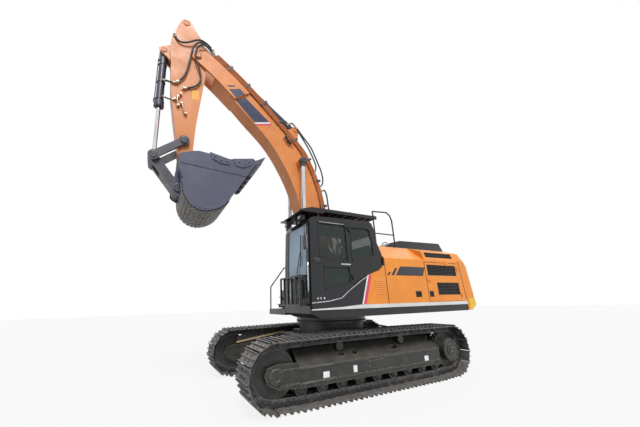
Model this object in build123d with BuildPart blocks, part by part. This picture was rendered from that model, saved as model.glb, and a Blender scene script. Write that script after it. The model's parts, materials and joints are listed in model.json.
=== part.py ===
from build123d import *
import math
import os

# A crawler excavator, in millimetres. X points forward along the boom, Y to the left
# (the cab's side) and Z up. Every length along X below is counted from the slewing axis.
# The frame's origin is on the ground under the middle of the machine's overall length,
# so the slewing axis stands at slew_x.

# Driving dimensions: whole machine
tail_radius = 3590
front_reach = 4312
slew_x = (tail_radius - front_reach) / 2
fit = 0.4
part_gap = 0.3
side_gap = 5

# Driving dimensions: tracks
wheel_x = 2035
wheel_z = 520
wheel_radius = 345
roller_radius = 110
roller_z = 265
roller_count = 9
roller_spread = 2 * (wheel_x - wheel_radius - roller_radius)
carrier_radius = 72
carrier_z = 808
carrier_x = 750
chain_height = 110
shoe_plate = 14
grouser_height = 31
shoe_pitch = 216
shoe_half = 105
rail_inner = 45
drive_tooth_count = 21
track_middle_y = 1295
shoe_width = 600
chain_width = 220

# Driving dimensions: track frames and car body
frame_front_x = 1640
frame_rear_x = -1660
frame_outer_y = 1480
frame_inner_y = 1110
frame_bottom_z = 285
frame_deck_z = 590
frame_peak_z = 825
frame_peak_y = 1200
tow_bore = 32
tow_eye = 60
tow_plate = 60
tow_x = 1100
tow_low_z = 520
leg_x = 850
leg_half = 190
ring_bottom_z = 1130
ring_outer_radius = 800
ring_split_radius = ring_outer_radius - 100

# Driving dimensions: upper structure
deck_bottom_z = 1290
deck_top_z = 1430
panel_bottom_z = 1500
body_y = 1499
weight_depth = 635
weight_front_x = weight_depth - tail_radius
body_front_x = -415
seam_lean = 103 / 1150
shoulder_x = -1650
crease_z = 2420
rear_crease_z = 2440
shoulder_y = 1440
shoulder_z = 2640
hood_y = 1075
hood_z = 2770
sheet = 25
main_plate_y = 228
main_plate = 44

# Driving dimensions: working equipment, pivots as (x, z)
boom_foot = (100, 1950)
boom_nose = (3480, 7280)
lift_foot = (865, 1500)
lift_eye = (790, 5000)
crowd_foot = (850, 6050)
crowd_eye = (3800, 8200)
arm_tip = (3535, 4330)
curl_foot = (4203, 7239)
link_joint = (4125, 4459)
idler_pivot = (3590, 4920)
bucket_pin = (3617, 3821)
boom_y = 207
arm_y = 200
bucket_y = 640
lift_y = 375
lift_half = 55
lift_bar = 53
pin_gap = 0.8

# Planes: side looks along +Y with X to the right and Z up, ground is the plan
side = Plane(origin=(slew_x, 0, 0), x_dir=(1, 0, 0), z_dir=(0, -1, 0))
ground = Plane(origin=(slew_x, 0, 0))
across = Plane(origin=(slew_x, 0, 0), x_dir=(0, 1, 0), z_dir=(1, 0, 0))


def plate(outline, y_from, y_to, mode=Mode.ADD):
    """A straight-edged outline in X and Z, filled between two places along Y."""
    with BuildSketch(side.offset(-y_from)) as face:
        with BuildLine():
            Polyline(*outline, close=True)
        make_face()
    extrude(face.sketch, amount=y_from - y_to, mode=mode)


def twin(outline, y_from, y_to, mode=Mode.ADD):
    """The same plate on both sides of the machine's middle."""
    plate(outline, y_from, y_to, mode)
    plate(outline, -y_to, -y_from, mode)


def flat_face(points):
    """A straight-edged outline in X and Z, as a face on the machine's middle plane."""
    with BuildSketch(side) as face:
        with BuildLine():
            Polyline(*points, close=True)
        make_face()
    return face.sketch


def slab(outline, z_from, z_to, mode=Mode.ADD):
    """A straight-edged outline in X and Y, filled between two heights."""
    with BuildSketch(ground.offset(z_from)) as face:
        with BuildLine():
            Polyline(*outline, close=True)
        make_face()
    extrude(face.sketch, amount=z_to - z_from, mode=mode)


def rail(outline, x_from, x_to, mode=Mode.ADD):
    """A straight-edged outline in Y and Z, filled between two places along X."""
    with BuildSketch(across.offset(x_from)) as face:
        with BuildLine():
            Polyline(*outline, close=True)
        make_face()
    extrude(face.sketch, amount=x_to - x_from, mode=mode)


def disc(place, radius, y_from, y_to, mode=Mode.ADD):
    """A round boss, pin or bore along Y at a place (x, z)."""
    with BuildSketch(side.offset(-y_from)) as face:
        with Locations(place):
            Circle(radius)
    extrude(face.sketch, amount=y_from - y_to, mode=mode)


def post(place, radius, z_from, z_to, mode=Mode.ADD):
    """A round post, ring or bore along Z at a place (x, y)."""
    with BuildSketch(ground.offset(z_from)) as face:
        with Locations(place):
            Circle(radius)
    extrude(face.sketch, amount=z_to - z_from, mode=mode)


def block(x_from, x_to, y_from, y_to, z_from, z_to, mode=Mode.ADD):
    """A box between two places along each axis."""
    middle = ((x_from + x_to) / 2, (y_from + y_to) / 2, (z_from + z_to) / 2)
    with Locations(ground.location * Location(middle)):
        Box(x_to - x_from, y_to - y_from, z_to - z_from, mode=mode)


def tube(points, radius):
    """A round bar through a list of places (x, y, z), with mitred corners."""
    with BuildLine() as route:
        Polyline(*[(x + slew_x, y, z) for x, y, z in points])
    path = route.line
    with BuildSketch(Plane(origin=path @ 0, z_dir=path % 0)) as ring:
        Circle(radius)
    sweep(ring.sketch, path=path, transition=Transition.RIGHT)


def along(start, end, distance, sideways=0):
    """The place at a distance from start towards end, moved sideways to the left."""
    length = math.dist(start, end)
    ux = (end[0] - start[0]) / length
    uz = (end[1] - start[1]) / length
    return (
        start[0] + ux * distance - uz * sideways,
        start[1] + uz * distance + ux * sideways,
    )


def strut(start, end, from_distance, to_distance, half, y_from, y_to, mode=Mode.ADD):
    """A flat bar between two distances on the line from start to end."""
    corners = [
        along(start, end, from_distance, -half),
        along(start, end, to_distance, -half),
        along(start, end, to_distance, half),
        along(start, end, from_distance, half),
    ]
    plate(corners, y_from, y_to, mode)


def cylinder_axis(start, end, y):
    """A plane at start whose normal points from start to end."""
    return Plane(
        origin=(start[0] + slew_x, y, start[1]),
        x_dir=(0, 1, 0),
        z_dir=(end[0] - start[0], 0, end[1] - start[1]),
    )


def round_bar(start, end, y, radius, from_distance, to_distance, mode=Mode.ADD):
    """A round bar between two distances on the line from start to end."""
    with BuildSketch(cylinder_axis(start, end, y).offset(from_distance)) as ring:
        Circle(radius)
    extrude(ring.sketch, amount=to_distance - from_distance, mode=mode)


# Tracks: the chain runs taut around idler, sprocket, rollers and carriers
loop_wheels = [
    (wheel_x, wheel_z, wheel_radius),
    (-wheel_x, wheel_z, wheel_radius),
    (roller_spread / 2, roller_z, roller_radius),
    (-roller_spread / 2, roller_z, roller_radius),
    (carrier_x, carrier_z, carrier_radius),
    (-carrier_x, carrier_z, carrier_radius),
]
roller_x = [
    -roller_spread / 2 + roller_spread * i / (roller_count - 1)
    for i in range(roller_count)
]


def loop_face(outward):
    """The track's taut loop, moved outward from the chain's inner side."""
    with BuildSketch(side) as loop:
        for x, z, radius in loop_wheels:
            with Locations((x, z)):
                Circle(radius + outward)
        make_hull()
    return loop.sketch


shoe_top = shoe_plate + grouser_height
shoe_outline = [
    (-shoe_half, 0),
    (shoe_half, 0),
    (shoe_half, shoe_top),
    (shoe_half - 15, shoe_top),
    (shoe_half - 21, shoe_plate),
    (12, shoe_plate),
    (8, shoe_top),
    (-8, shoe_top),
    (-12, shoe_plate),
    (21 - shoe_half, shoe_plate),
    (15 - shoe_half, shoe_top),
    (-shoe_half, shoe_top),
]


def shoe_faces():
    """The shoes' outlines, flat on the chain's outer side at an even pitch."""
    path = loop_face(chain_height).face().outer_wire()
    count = round(path.length / shoe_pitch)
    bottom_middle = path.param_at_point((slew_x, 0, roller_z - roller_radius - chain_height))
    with BuildSketch(side) as shoes:
        for i in range(count):
            share = (bottom_middle + i / count) % 1
            place = path @ share
            heading = path % share
            outward = (place.X - slew_x) * -heading.Z + (place.Z - wheel_z) * heading.X
            turn = math.degrees(math.atan2(heading.Z, heading.X)) + (180 if outward < 0 else 0)
            with Locations((place.X - slew_x, place.Z)):
                Polygon(*shoe_outline, rotation=turn, align=None)
    return shoes.sketch


chain_ring = loop_face(chain_height + 1) - loop_face(part_gap)
with BuildPart() as track_left:
    extrude(shoe_faces().moved(Location((0, track_middle_y - shoe_width / 2, 0))), amount=-shoe_width)
    for y in (-chain_width / 2, rail_inner):
        rail_start = Location((0, track_middle_y + y, 0))
        extrude(chain_ring.moved(rail_start), amount=rail_inner - chain_width / 2)
track_left.part.label = "track_left"

with BuildPart() as track_right:
    add(track_left.part.mirror(Plane.XZ))
track_right.part.label = "track_right"

with BuildPart() as idler_left:
    disc((wheel_x, wheel_z), wheel_radius, track_middle_y - 80, track_middle_y + 80)
    disc((wheel_x, wheel_z), wheel_radius + 30, track_middle_y - 36, track_middle_y + 36)
    disc((wheel_x, wheel_z), 110, track_middle_y - 140, track_middle_y + 140)
idler_left.part.label = "idler_left"

drive_tooth = [
    (wheel_radius - 20, -32),
    (wheel_radius + 50, -12),
    (wheel_radius + 50, 12),
    (wheel_radius - 20, 32),
]
cover_y = track_middle_y + 200
with BuildPart() as sprocket_left:
    disc((-wheel_x, wheel_z), wheel_radius, track_middle_y - 62, track_middle_y + 62)
    with BuildSketch(side.offset(-track_middle_y - 36)) as teeth:
        with Locations((-wheel_x, wheel_z)):
            for i in range(drive_tooth_count):
                Polygon(*drive_tooth, rotation=360 * i / drive_tooth_count, align=None)
    extrude(teeth.sketch, amount=72)
    disc((-wheel_x, wheel_z), 220, frame_inner_y + 20, cover_y)
    disc((-wheel_x, wheel_z), 130, cover_y - 10, cover_y + 22)
    disc((-wheel_x, wheel_z), 60, cover_y, cover_y + 34)
sprocket_left.part.label = "sprocket_left"

with BuildPart() as rollers_left:
    for x in roller_x:
        disc((x, roller_z), roller_radius, track_middle_y - 105, track_middle_y + 105)
        disc((x, roller_z), 45, frame_inner_y + 40, frame_outer_y - 40)
    for x in (carrier_x, -carrier_x):
        disc((x, carrier_z), carrier_radius, track_middle_y - 60, track_middle_y + 60)
rollers_left.part.label = "rollers_left"

# Track frame: a box over the rollers with skirts beside them and a sloping deck
skirt = 40
frame_floor_z = roller_z + roller_radius + 15
yoke_y = track_middle_y + 140 + part_gap
yoke_outline = [
    (frame_front_x, 300),
    (wheel_x - 40, 320),
    (wheel_x + 150, 410),
    (wheel_x + 190, 520),
    (wheel_x + 150, 620),
    (wheel_x - 40, 670),
    (frame_front_x, 650),
]
deck_slots = [(820, 690), (530, 400), (-440, -590)]
with BuildPart() as track_frame_left:
    rail(
        [
            (frame_inner_y, frame_bottom_z),
            (frame_outer_y, frame_bottom_z),
            (frame_outer_y, frame_deck_z),
            (frame_peak_y, frame_peak_z),
            (frame_inner_y, frame_peak_z),
        ],
        frame_rear_x,
        frame_front_x,
    )
    rail(
        [
            (frame_inner_y + skirt, frame_bottom_z),
            (frame_outer_y - skirt, frame_bottom_z),
            (frame_outer_y - skirt, frame_floor_z),
            (frame_inner_y + skirt, frame_floor_z),
        ],
        frame_rear_x,
        frame_front_x,
        Mode.SUBTRACT,
    )
    # Yoke that holds the idler at the front, with a rib along each edge
    plate(yoke_outline, yoke_y, frame_outer_y)
    plate(yoke_outline, frame_inner_y, track_middle_y - 140 - part_gap)
    for z in (frame_bottom_z + 60, frame_deck_z - 30):
        block(frame_rear_x, wheel_x - 60, frame_outer_y - 2, frame_outer_y + 16, z, z + 26)
    # Bracket of the drive at the rear, and room for the sprocket's teeth
    block(-wheel_x - 200, frame_rear_x, frame_inner_y, frame_inner_y + 20 - part_gap, 330, 700)
    block(
        frame_rear_x - 1,
        frame_rear_x + 60,
        track_middle_y - rail_inner,
        track_middle_y + rail_inner,
        frame_floor_z - 10,
        900,
        Mode.SUBTRACT,
    )
    # Bays and brackets of the carrier rollers, and slots that let mud fall through
    for x in (carrier_x, -carrier_x):
        block(x - 100, x + 100, track_middle_y - 75, frame_outer_y, carrier_z - 95, 900, Mode.SUBTRACT)
        block(x - 50, x + 50, track_middle_y - 120, track_middle_y - 60 - part_gap, 600, carrier_z + 40)
    for x_from, x_to in deck_slots:
        block(min(x_from, x_to), max(x_from, x_to), 1320, 1400, frame_floor_z + 150, 900, Mode.SUBTRACT)
track_frame_left.part.label = "track_frame_left"

with BuildPart() as idler_right:
    add(idler_left.part.mirror(Plane.XZ))
idler_right.part.label = "idler_right"

with BuildPart() as sprocket_right:
    add(sprocket_left.part.mirror(Plane.XZ))
sprocket_right.part.label = "sprocket_right"

with BuildPart() as rollers_right:
    add(rollers_left.part.mirror(Plane.XZ))
rollers_right.part.label = "rollers_right"

with BuildPart() as track_frame_right:
    add(track_frame_left.part.mirror(Plane.XZ))
track_frame_right.part.label = "track_frame_right"

# Car body: centre box, turret and four legs that reach the track frames
leg_outline = [
    (-frame_inner_y + part_gap, 420),
    (frame_inner_y - part_gap, 420),
    (frame_inner_y - part_gap, 680),
    (700, 900),
    (-700, 900),
    (-frame_inner_y + part_gap, 680),
]
with BuildPart() as car_body:
    block(-700, 700, -620, 620, 480, 960)
    for x in (-leg_x, leg_x):
        rail(leg_outline, x - leg_half, x + leg_half)
    post((0, 0), ring_outer_radius - 60, 900, ring_bottom_z - part_gap)
    # Tow eyes: a flat plate at each end with an upright bore for a shackle's pin
    for end in (-1, 1):
        tow_ends = sorted((end * (leg_x + leg_half - 20), end * tow_x))
        block(*tow_ends, -tow_eye, tow_eye, tow_low_z, tow_low_z + tow_plate)
        post((end * tow_x, 0), tow_eye, tow_low_z, tow_low_z + tow_plate)
        post((end * tow_x, 0), tow_bore, tow_low_z - 20, tow_low_z + 80, Mode.SUBTRACT)
car_body.part.label = "car_body"

with BuildPart() as slew_ring_fixed:
    post((0, 0), ring_split_radius, ring_bottom_z, deck_bottom_z - side_gap - 10)
    post((0, 0), ring_split_radius - 90, ring_bottom_z, deck_bottom_z, Mode.SUBTRACT)
slew_ring_fixed.part.label = "slew_ring_fixed"

with BuildPart() as slew_ring_turning:
    post((0, 0), ring_outer_radius, ring_bottom_z + side_gap, deck_bottom_z - part_gap)
    post((0, 0), ring_split_radius + fit, ring_bottom_z, deck_bottom_z, Mode.SUBTRACT)
slew_ring_turning.part.label = "slew_ring_turning"

# Swing frame: deck, main plates that carry the boom, and lugs of the lift cylinders
slot_y = 470
slot_rear_x = 740
lug_outline = [
    (690, deck_bottom_z),
    (690, 1450),
    (800, 1580),
    (960, 1560),
    (960, 1410),
    (860, deck_bottom_z),
]
cab_deck = [
    (weight_front_x, deck_bottom_z),
    (1180, deck_bottom_z),
    (1390, deck_bottom_z + 85),
    (1390, deck_top_z),
    (weight_front_x, deck_top_z),
]
with BuildPart() as swing_frame:
    block(weight_front_x, slot_rear_x, -slot_y, slot_y, deck_bottom_z, deck_top_z)
    plate(cab_deck, slot_y, 1480)
    block(weight_front_x, 960, -1480, -slot_y, deck_bottom_z, deck_top_z)
    for y in (main_plate_y, -main_plate_y - main_plate):
        plate(
            [
                (-1500, deck_bottom_z),
                (-1500, 1600),
                (-150, 2110),
                (-40, 2170),
                (240, 2170),
                (330, 2080),
                (850, 1625),
                (985, 1540),
                (1000, 1420),
                (860, deck_bottom_z),
            ],
            y,
            y + main_plate,
        )
    lug_y = lift_y + lift_half + pin_gap
    for y in (lug_y, -lug_y - 40):
        plate(lug_outline, y, y + 40)
    block(slot_rear_x - 80, 860, -slot_y, slot_y, deck_bottom_z, deck_bottom_z + 40)
    disc(boom_foot, 60, -main_plate_y - 75, main_plate_y + 75)
    for end in (1, -1):
        disc(lift_foot, 100, end * main_plate_y, end * (lift_y - lift_half - pin_gap))
        disc(lift_foot, 50, end * main_plate_y, end * (lug_y + 44))
swing_frame.part.label = "swing_frame"



def seam_x(z, sideways=0):
    """Where the leaning seam between panels and counterweight stands at a height."""
    return weight_front_x + (z - panel_bottom_z) * seam_lean + sideways


weight_top_z = hood_z - 5
with BuildPart() as counterweight:
    with BuildSketch(side) as weight_profile:
        with BuildLine():
            Polyline(
                (0, deck_bottom_z),
                (-3120, deck_bottom_z),
                (-3420, deck_bottom_z + 10),
                (-tail_radius, 1400),
                (-tail_radius + 15, 1640),
                (-tail_radius + 90, 2320),
                (-3290, 2690),
                (-3100, weight_top_z),
                (0, weight_top_z),
                close=True,
            )
        make_face()
    revolve(weight_profile.sketch, axis=Axis((slew_x, 0, 0), (0, 0, 1)))
    weight_side = [
        (-3700, 1200),
        (weight_front_x - part_gap, 1200),
        (weight_front_x - part_gap, panel_bottom_z),
        (seam_x(2800, -part_gap), 2800),
        (-3700, 2800),
    ]
    plate(weight_side, -body_y, body_y, Mode.INTERSECT)
    weight_end = [
        (-body_y + 4, 1200),
        (-body_y + 4, rear_crease_z),
        (-shoulder_y + 4, shoulder_z),
        (-hood_y, hood_z),
        (hood_y, hood_z),
        (shoulder_y - 4, shoulder_z),
        (body_y - 4, rear_crease_z),
        (body_y - 4, 1200),
    ]
    rail(weight_end, -3700, -2700, Mode.INTERSECT)
counterweight.part.label = "counterweight"

# Body panels: sheet walls with a sloping shoulder that is steeper towards the rear
side_hinge = (-2775, body_y + 13)
side_knuckle = 12
door_front_x = -1640
door_rear_x = side_hinge[0] + 15
front_shoulder = [
    (body_y, panel_bottom_z),
    (body_y, crease_z),
    (hood_y, hood_z),
    (hood_y, hood_z - sheet),
    (body_y - sheet, crease_z - 12),
    (body_y - sheet, panel_bottom_z),
]
rear_shoulder = [
    (body_y, panel_bottom_z),
    (body_y, rear_crease_z),
    (shoulder_y, shoulder_z),
    (hood_y, hood_z),
    (hood_y, hood_z - sheet),
    (shoulder_y - sheet, shoulder_z - sheet),
    (body_y - sheet, rear_crease_z),
    (body_y - sheet, panel_bottom_z),
]
step_wall = [
    (body_y - sheet, crease_z - 12),
    (body_y, crease_z),
    (body_y, rear_crease_z),
    (shoulder_y, shoulder_z),
    (hood_y, hood_z),
    (hood_y, hood_z - sheet),
]
behind_seam = [
    (seam_x(1400, side_gap), 1400),
    (seam_x(2900, side_gap), 2900),
    (-3200, 2900),
    (-3200, 1400),
]
# Vents as (front x, rear x, lower z, upper z)
shell_vents = [(-1220, -1405, 1611, 1738)]
door_vents = [(-1700, -2720, 2080, 2325), (-1960, -2740, 1650, 1925), (-1662, -1800, 1611, 1738)]
shoulder_vent = (-1740, -2700)
shoulder_vent_rise = (60, 185)


def shoulder_strip(from_along, to_along, from_depth, to_depth, x_rear, x_front, mode=Mode.ADD):
    """A bar on the steep part of the shoulder, between two distances up the slope."""
    low, high = (body_y, rear_crease_z), (shoulder_y, shoulder_z)
    corners = [
        along(low, high, from_along, from_depth),
        along(low, high, to_along, from_depth),
        along(low, high, to_along, to_depth),
        along(low, high, from_along, to_depth),
    ]
    rail(corners, x_rear, x_front, mode)


def grille(x_front, x_rear, z_low, z_high):
    """A frame with level bars that fills a vent in a side panel."""
    x_front, x_rear = x_front - part_gap, x_rear + part_gap
    z_low, z_high = z_low + part_gap, z_high - part_gap
    border = 14
    block(x_rear, x_front, body_y - 22, body_y - 4, z_low, z_high)
    block(
        x_rear + border,
        x_front - border,
        body_y - 30,
        body_y + 5,
        z_low + border,
        z_high - border,
        Mode.SUBTRACT,
    )
    bars = round((z_high - z_low) / 36)
    for i in range(1, bars):
        z = z_low + (z_high - z_low) * i / bars
        block(x_rear + 1, x_front - 1, body_y - 18, body_y - 8, z - 7, z + 7)


with BuildPart() as body_shell_left:
    rail(front_shoulder, shoulder_x - 1, body_front_x)
    rail(rear_shoulder, weight_front_x, shoulder_x)
    rail(step_wall, shoulder_x - sheet, shoulder_x)
    plate(behind_seam, 900, 1600, Mode.SUBTRACT)
    block(
        door_rear_x - side_gap,
        door_front_x + side_gap,
        body_y - 40,
        body_y + 5,
        1510,
        2380,
        Mode.SUBTRACT,
    )
    for x_front, x_rear, z_low, z_high in shell_vents:
        block(x_rear, x_front, body_y - 40, body_y + 5, z_low, z_high, Mode.SUBTRACT)
    shoulder_strip(*shoulder_vent_rise, -20, 60, shoulder_vent[1], shoulder_vent[0], Mode.SUBTRACT)
    for z in (1600, 2200):
        post(side_hinge, side_knuckle, z, z + 40)
        block(side_hinge[0] - 25, side_hinge[0], body_y - 5, side_hinge[1], z, z + 40)
body_shell_left.part.label = "body_shell_left"
with BuildPart() as side_door_left:
    block(door_rear_x, door_front_x, body_y - sheet, body_y, 1515, 2375)
    for x_front, x_rear, z_low, z_high in door_vents:
        block(x_rear, x_front, body_y - 40, body_y + 5, z_low, z_high, Mode.SUBTRACT)
    for z in (1640 + pin_gap, 2240 + pin_gap):
        post(side_hinge, side_knuckle, z, z + 50)
        block(side_hinge[0], side_hinge[0] + 40, body_y + 1, side_hinge[1], z, z + 50)
        block(side_hinge[0] + 20, side_hinge[0] + 33, body_y - 3, body_y + 2, z, z + 50)
side_door_left.part.label = "side_door_left"
with BuildPart() as door_grille_left:
    for vent in door_vents:
        grille(*vent)
door_grille_left.part.label = "door_grille_left"
with BuildPart() as body_grilles:
    for vent in shell_vents:
        grille(*vent)
    low_edge, high_edge = shoulder_vent_rise[0] + part_gap, shoulder_vent_rise[1] - part_gap
    rear_edge, front_edge = shoulder_vent[1] + part_gap, shoulder_vent[0] - part_gap
    shoulder_strip(low_edge, high_edge, 4, 22, rear_edge, front_edge)
    shoulder_strip(low_edge + 14, high_edge - 14, 0, 30, rear_edge + 14, front_edge - 14, Mode.SUBTRACT)
    for rise in (40, 70):
        shoulder_strip(low_edge + rise, low_edge + rise + 14, 8, 18, rear_edge + 1, front_edge - 1)
    add(body_grilles.part.mirror(Plane.XZ))
body_grilles.part.label = "body_grilles"

with BuildPart() as body_shell_right:
    add(body_shell_left.part.mirror(Plane.XZ))
body_shell_right.part.label = "body_shell_right"
with BuildPart() as side_door_right:
    add(side_door_left.part.mirror(Plane.XZ))
side_door_right.part.label = "side_door_right"
with BuildPart() as door_grille_right:
    add(door_grille_left.part.mirror(Plane.XZ))
door_grille_right.part.label = "door_grille_right"


def cross_wall(y_low, z_crease, y_high, z_high, x_rear, x_front):
    """A sheet across the machine from the deck up to the hood."""
    outline = [
        (-y_low, deck_top_z),
        (-y_low, z_crease),
        (-y_high, z_high),
        (-hood_y, hood_z - sheet - 1),
        (hood_y, hood_z - sheet - 1),
        (y_high, z_high),
        (y_low, z_crease),
        (y_low, deck_top_z),
    ]
    rail(outline, x_rear, x_front)


panel_inner_y = body_y - sheet - 1
with BuildPart() as rear_panels:
    cross_wall(panel_inner_y, rear_crease_z - 20, shoulder_y - 40, shoulder_z - 45, -2800, -2775)
rear_panels.part.label = "rear_panels"

# Sills: a pale strip that closes the deck under the panels on both sides
sill_outline = [
    (weight_front_x + 5, deck_top_z + part_gap),
    (1370, deck_top_z + part_gap),
    (1370, 1448),
    (730, 1470),
    (300, panel_bottom_z - part_gap),
    (weight_front_x + 5, panel_bottom_z - part_gap),
]
with BuildPart() as sills:
    plate(sill_outline, body_y - sheet, body_y)
    block(
        weight_front_x + 5,
        560,
        -body_y,
        sheet - body_y,
        deck_top_z + part_gap,
        panel_bottom_z - part_gap,
    )
sills.part.label = "sills"

bonnet_hinge = (-1130, hood_z + 16)
bonnet_bottom_z = hood_z + side_gap
bonnet_cut = [(-2700, -1200), (-800, 800)]
hood_rear_x = seam_x(hood_z, side_gap)
with BuildPart() as hood_top:
    block(hood_rear_x, body_front_x, -hood_y + part_gap, hood_y - part_gap, hood_z - sheet, hood_z)
    block(*bonnet_cut[0], *bonnet_cut[1], hood_z - 100, hood_z + 10, Mode.SUBTRACT)
    for y in (-600, 600):
        disc(bonnet_hinge, 12, y, y + 50)
        block(bonnet_hinge[0], bonnet_hinge[0] + 25, y, y + 50, hood_z - 2, bonnet_hinge[1])
hood_top.part.label = "hood_top"

# Bonnet: a long cover that slopes at both ends and leans in at its sides
bonnet_side = [
    (-1150, bonnet_bottom_z),
    (-1150, 2834),
    (-1330, 2930),
    (-1690, 3014),
    (-3210, 3044),
    (-3290, bonnet_bottom_z),
]
bonnet_end = [(-900, bonnet_bottom_z), (-850, 3050), (850, 3050), (900, bonnet_bottom_z)]
bonnet_void_side = [
    (-1150 - sheet, bonnet_bottom_z - 1),
    (-1150 - sheet, 2834 - sheet),
    (-1330 - 10, 2930 - sheet),
    (-1690, 3014 - sheet),
    (-3210 + 15, 3044 - sheet),
    (-3290 + sheet, bonnet_bottom_z - 1),
]
bonnet_void_end = [
    (sheet - 900, bonnet_bottom_z - 1),
    (sheet - 850, 3050),
    (850 - sheet, 3050),
    (900 - sheet, bonnet_bottom_z - 1),
]
with BuildPart() as bonnet_void:
    plate(bonnet_void_side, -900, 900)
    rail(bonnet_void_end, -3400, -1100, Mode.INTERSECT)
with BuildPart() as engine_bonnet:
    plate(bonnet_side, -900, 900)
    rail(bonnet_end, -3400, -1100, Mode.INTERSECT)
    add(bonnet_void.part, mode=Mode.SUBTRACT)
    for y in (-600 - pin_gap - 50, 650 + pin_gap):
        disc(bonnet_hinge, 12, y, y + 50)
        block(
            bonnet_hinge[0] - 22,
            bonnet_hinge[0],
            y,
            y + 50,
            bonnet_hinge[1] - 6,
            bonnet_hinge[1] + 12,
        )
engine_bonnet.part.label = "engine_bonnet"

with BuildPart() as bulkhead:
    wall_x = body_front_x - 60
    cross_wall(panel_inner_y, crease_z - 20, hood_y + 1, hood_z - sheet - 2, wall_x, wall_x + sheet)
    block(wall_x - 50, wall_x + 50, -300, 300, 1400, 2200, Mode.SUBTRACT)
bulkhead.part.label = "bulkhead"

with BuildPart() as engine:
    block(-2600, -1600, -600, 700, deck_top_z, 2400)
engine.part.label = "engine"

tank_front_x = 440
with BuildPart() as fuel_tank:
    block(body_front_x + side_gap, tank_front_x, -body_y, -slot_y - 20, panel_bottom_z, 2420)
    block(
        body_front_x + side_gap,
        tank_front_x,
        sheet + 1 - body_y,
        -slot_y - 20,
        deck_top_z,
        panel_bottom_z + 1,
    )
fuel_tank.part.label = "fuel_tank"

with BuildPart() as tool_box:
    block(tank_front_x + side_gap, 610, 60 - body_y, -slot_y - 20, deck_top_z, 1900)
tool_box.part.label = "tool_box"

# Cab: shell with a door opening, glass, door and guards
door_hinge = (435, 1516)
knuckle = 14
cab_inner_y = 478
cab_y = 1466
cab_outline = [
    (1390, deck_top_z),
    (1390, 2200),
    (1360, 3000),
    (1310, 3110),
    (1180, 3158),
    (-150, 3190),
    (-217, 3150),
    (-290, 2964),
    (-309, 2726),
    (-409, 2476),
    (-409, deck_top_z),
]
wall = 40


def inset(points, amount):
    """A closed outline moved inward."""
    with BuildSketch(side) as shrunk:
        with BuildLine():
            Polyline(*points, close=True)
        make_face()
        offset(amount=-amount, kind=Kind.INTERSECTION, mode=Mode.REPLACE)
    return shrunk.sketch


door_window = [(1158, 2369), (1158, 3024), (555, 3024), (515, 2984), (515, 2302)]
door_low_window = [(1079, 1766), (1079, 2195), (492, 2195), (492, 1900)]
rear_window = [(380, 2341), (380, 3020), (-90, 3020), (-130, 2973), (-180, 2700), (-180, 2463)]
right_window = [(1330, 2000), (1300, 3060), (-130, 3040), (-190, 2463), (-190, 2300)]
windshield = [(1390, 2020), (1390, 2200), (1360, 3000), (1320, 3000), (1350, 2200), (1350, 2020)]
low_windshield_z = (1640, 1960)
glass_y = (560, 1400)
with BuildPart() as cab_shell:
    plate(cab_outline, cab_inner_y, cab_y)
    hollow = inset(cab_outline, wall).moved(Location((0, cab_inner_y + wall, 0)))
    extrude(hollow, amount=-(cab_y - cab_inner_y - 2 * wall), mode=Mode.SUBTRACT)
    # Door opening, rear side window, right window, windshields, rear window
    plate(
        [(1330, 1640), (1300, 3060), (480, 3090), (480, 1640)],
        cab_y - 100,
        cab_y + 10,
        Mode.SUBTRACT,
    )
    plate(rear_window, cab_y - 100, cab_y + 10, Mode.SUBTRACT)
    plate(right_window, cab_inner_y - 10, cab_inner_y + 100, Mode.SUBTRACT)
    block(1200, 1450, *glass_y, *low_windshield_z, Mode.SUBTRACT)
    block(1200, 1450, *glass_y, 2020, 3000, Mode.SUBTRACT)
    block(-500, -150, 600, 1350, 2500, 2920, Mode.SUBTRACT)
    # Hinge brackets of the door
    for z in (1960, 2900):
        block(395, 432, cab_y - 10, door_hinge[1] + 8, z, z + 40)
        post(door_hinge, knuckle, z, z + 40)
cab_shell.part.label = "cab_shell"

with BuildPart() as cab_door:
    plate(
        [(1370, 1560), (1345, 3060), (440, 3090), (440, 1850), (730, 1640), (997, 1590)],
        cab_y + side_gap,
        cab_y + 33,
    )
    plate(door_window, cab_y, cab_y + 50, Mode.SUBTRACT)
    plate(door_low_window, cab_y, cab_y + 50, Mode.SUBTRACT)
    for z in (2000 + pin_gap, 2940 + pin_gap):
        post(door_hinge, knuckle, z, z + 60)
        block(435, 465, cab_y + 25, door_hinge[1] + 5, z, z + 60)
cab_door.part.label = "cab_door"


def pane(outline, y_from, y_to):
    """Glass that fills a window, with a hair's gap all round."""
    shrunk = inset(outline, part_gap)
    extrude(shrunk.moved(Location((0, y_from, 0))), amount=y_from - y_to)


pane_low = glass_y[0] + part_gap
pane_high = glass_y[1] - part_gap
with BuildPart() as cab_glass:
    pane(rear_window, cab_y - 20, cab_y - 12)
    pane(right_window, cab_inner_y + 12, cab_inner_y + 20)
    plate(
        [(1376, 2021), (1376, 2200), (1346, 2999), (1338, 2999), (1368, 2200), (1368, 2021)],
        pane_low,
        pane_high,
    )
    block(1368, 1376, pane_low, pane_high, low_windshield_z[0] + part_gap, low_windshield_z[1] - part_gap)
    plate(
        [(-310, 2501), (-289, 2700), (-276, 2919), (-268, 2919), (-281, 2700), (-302, 2501)],
        600 + part_gap,
        1350 - part_gap,
    )
cab_glass.part.label = "cab_glass"

with BuildPart() as door_glass:
    pane(door_window, cab_y + 12, cab_y + 20)
    pane(door_low_window, cab_y + 12, cab_y + 20)
door_glass.part.label = "door_glass"

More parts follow.
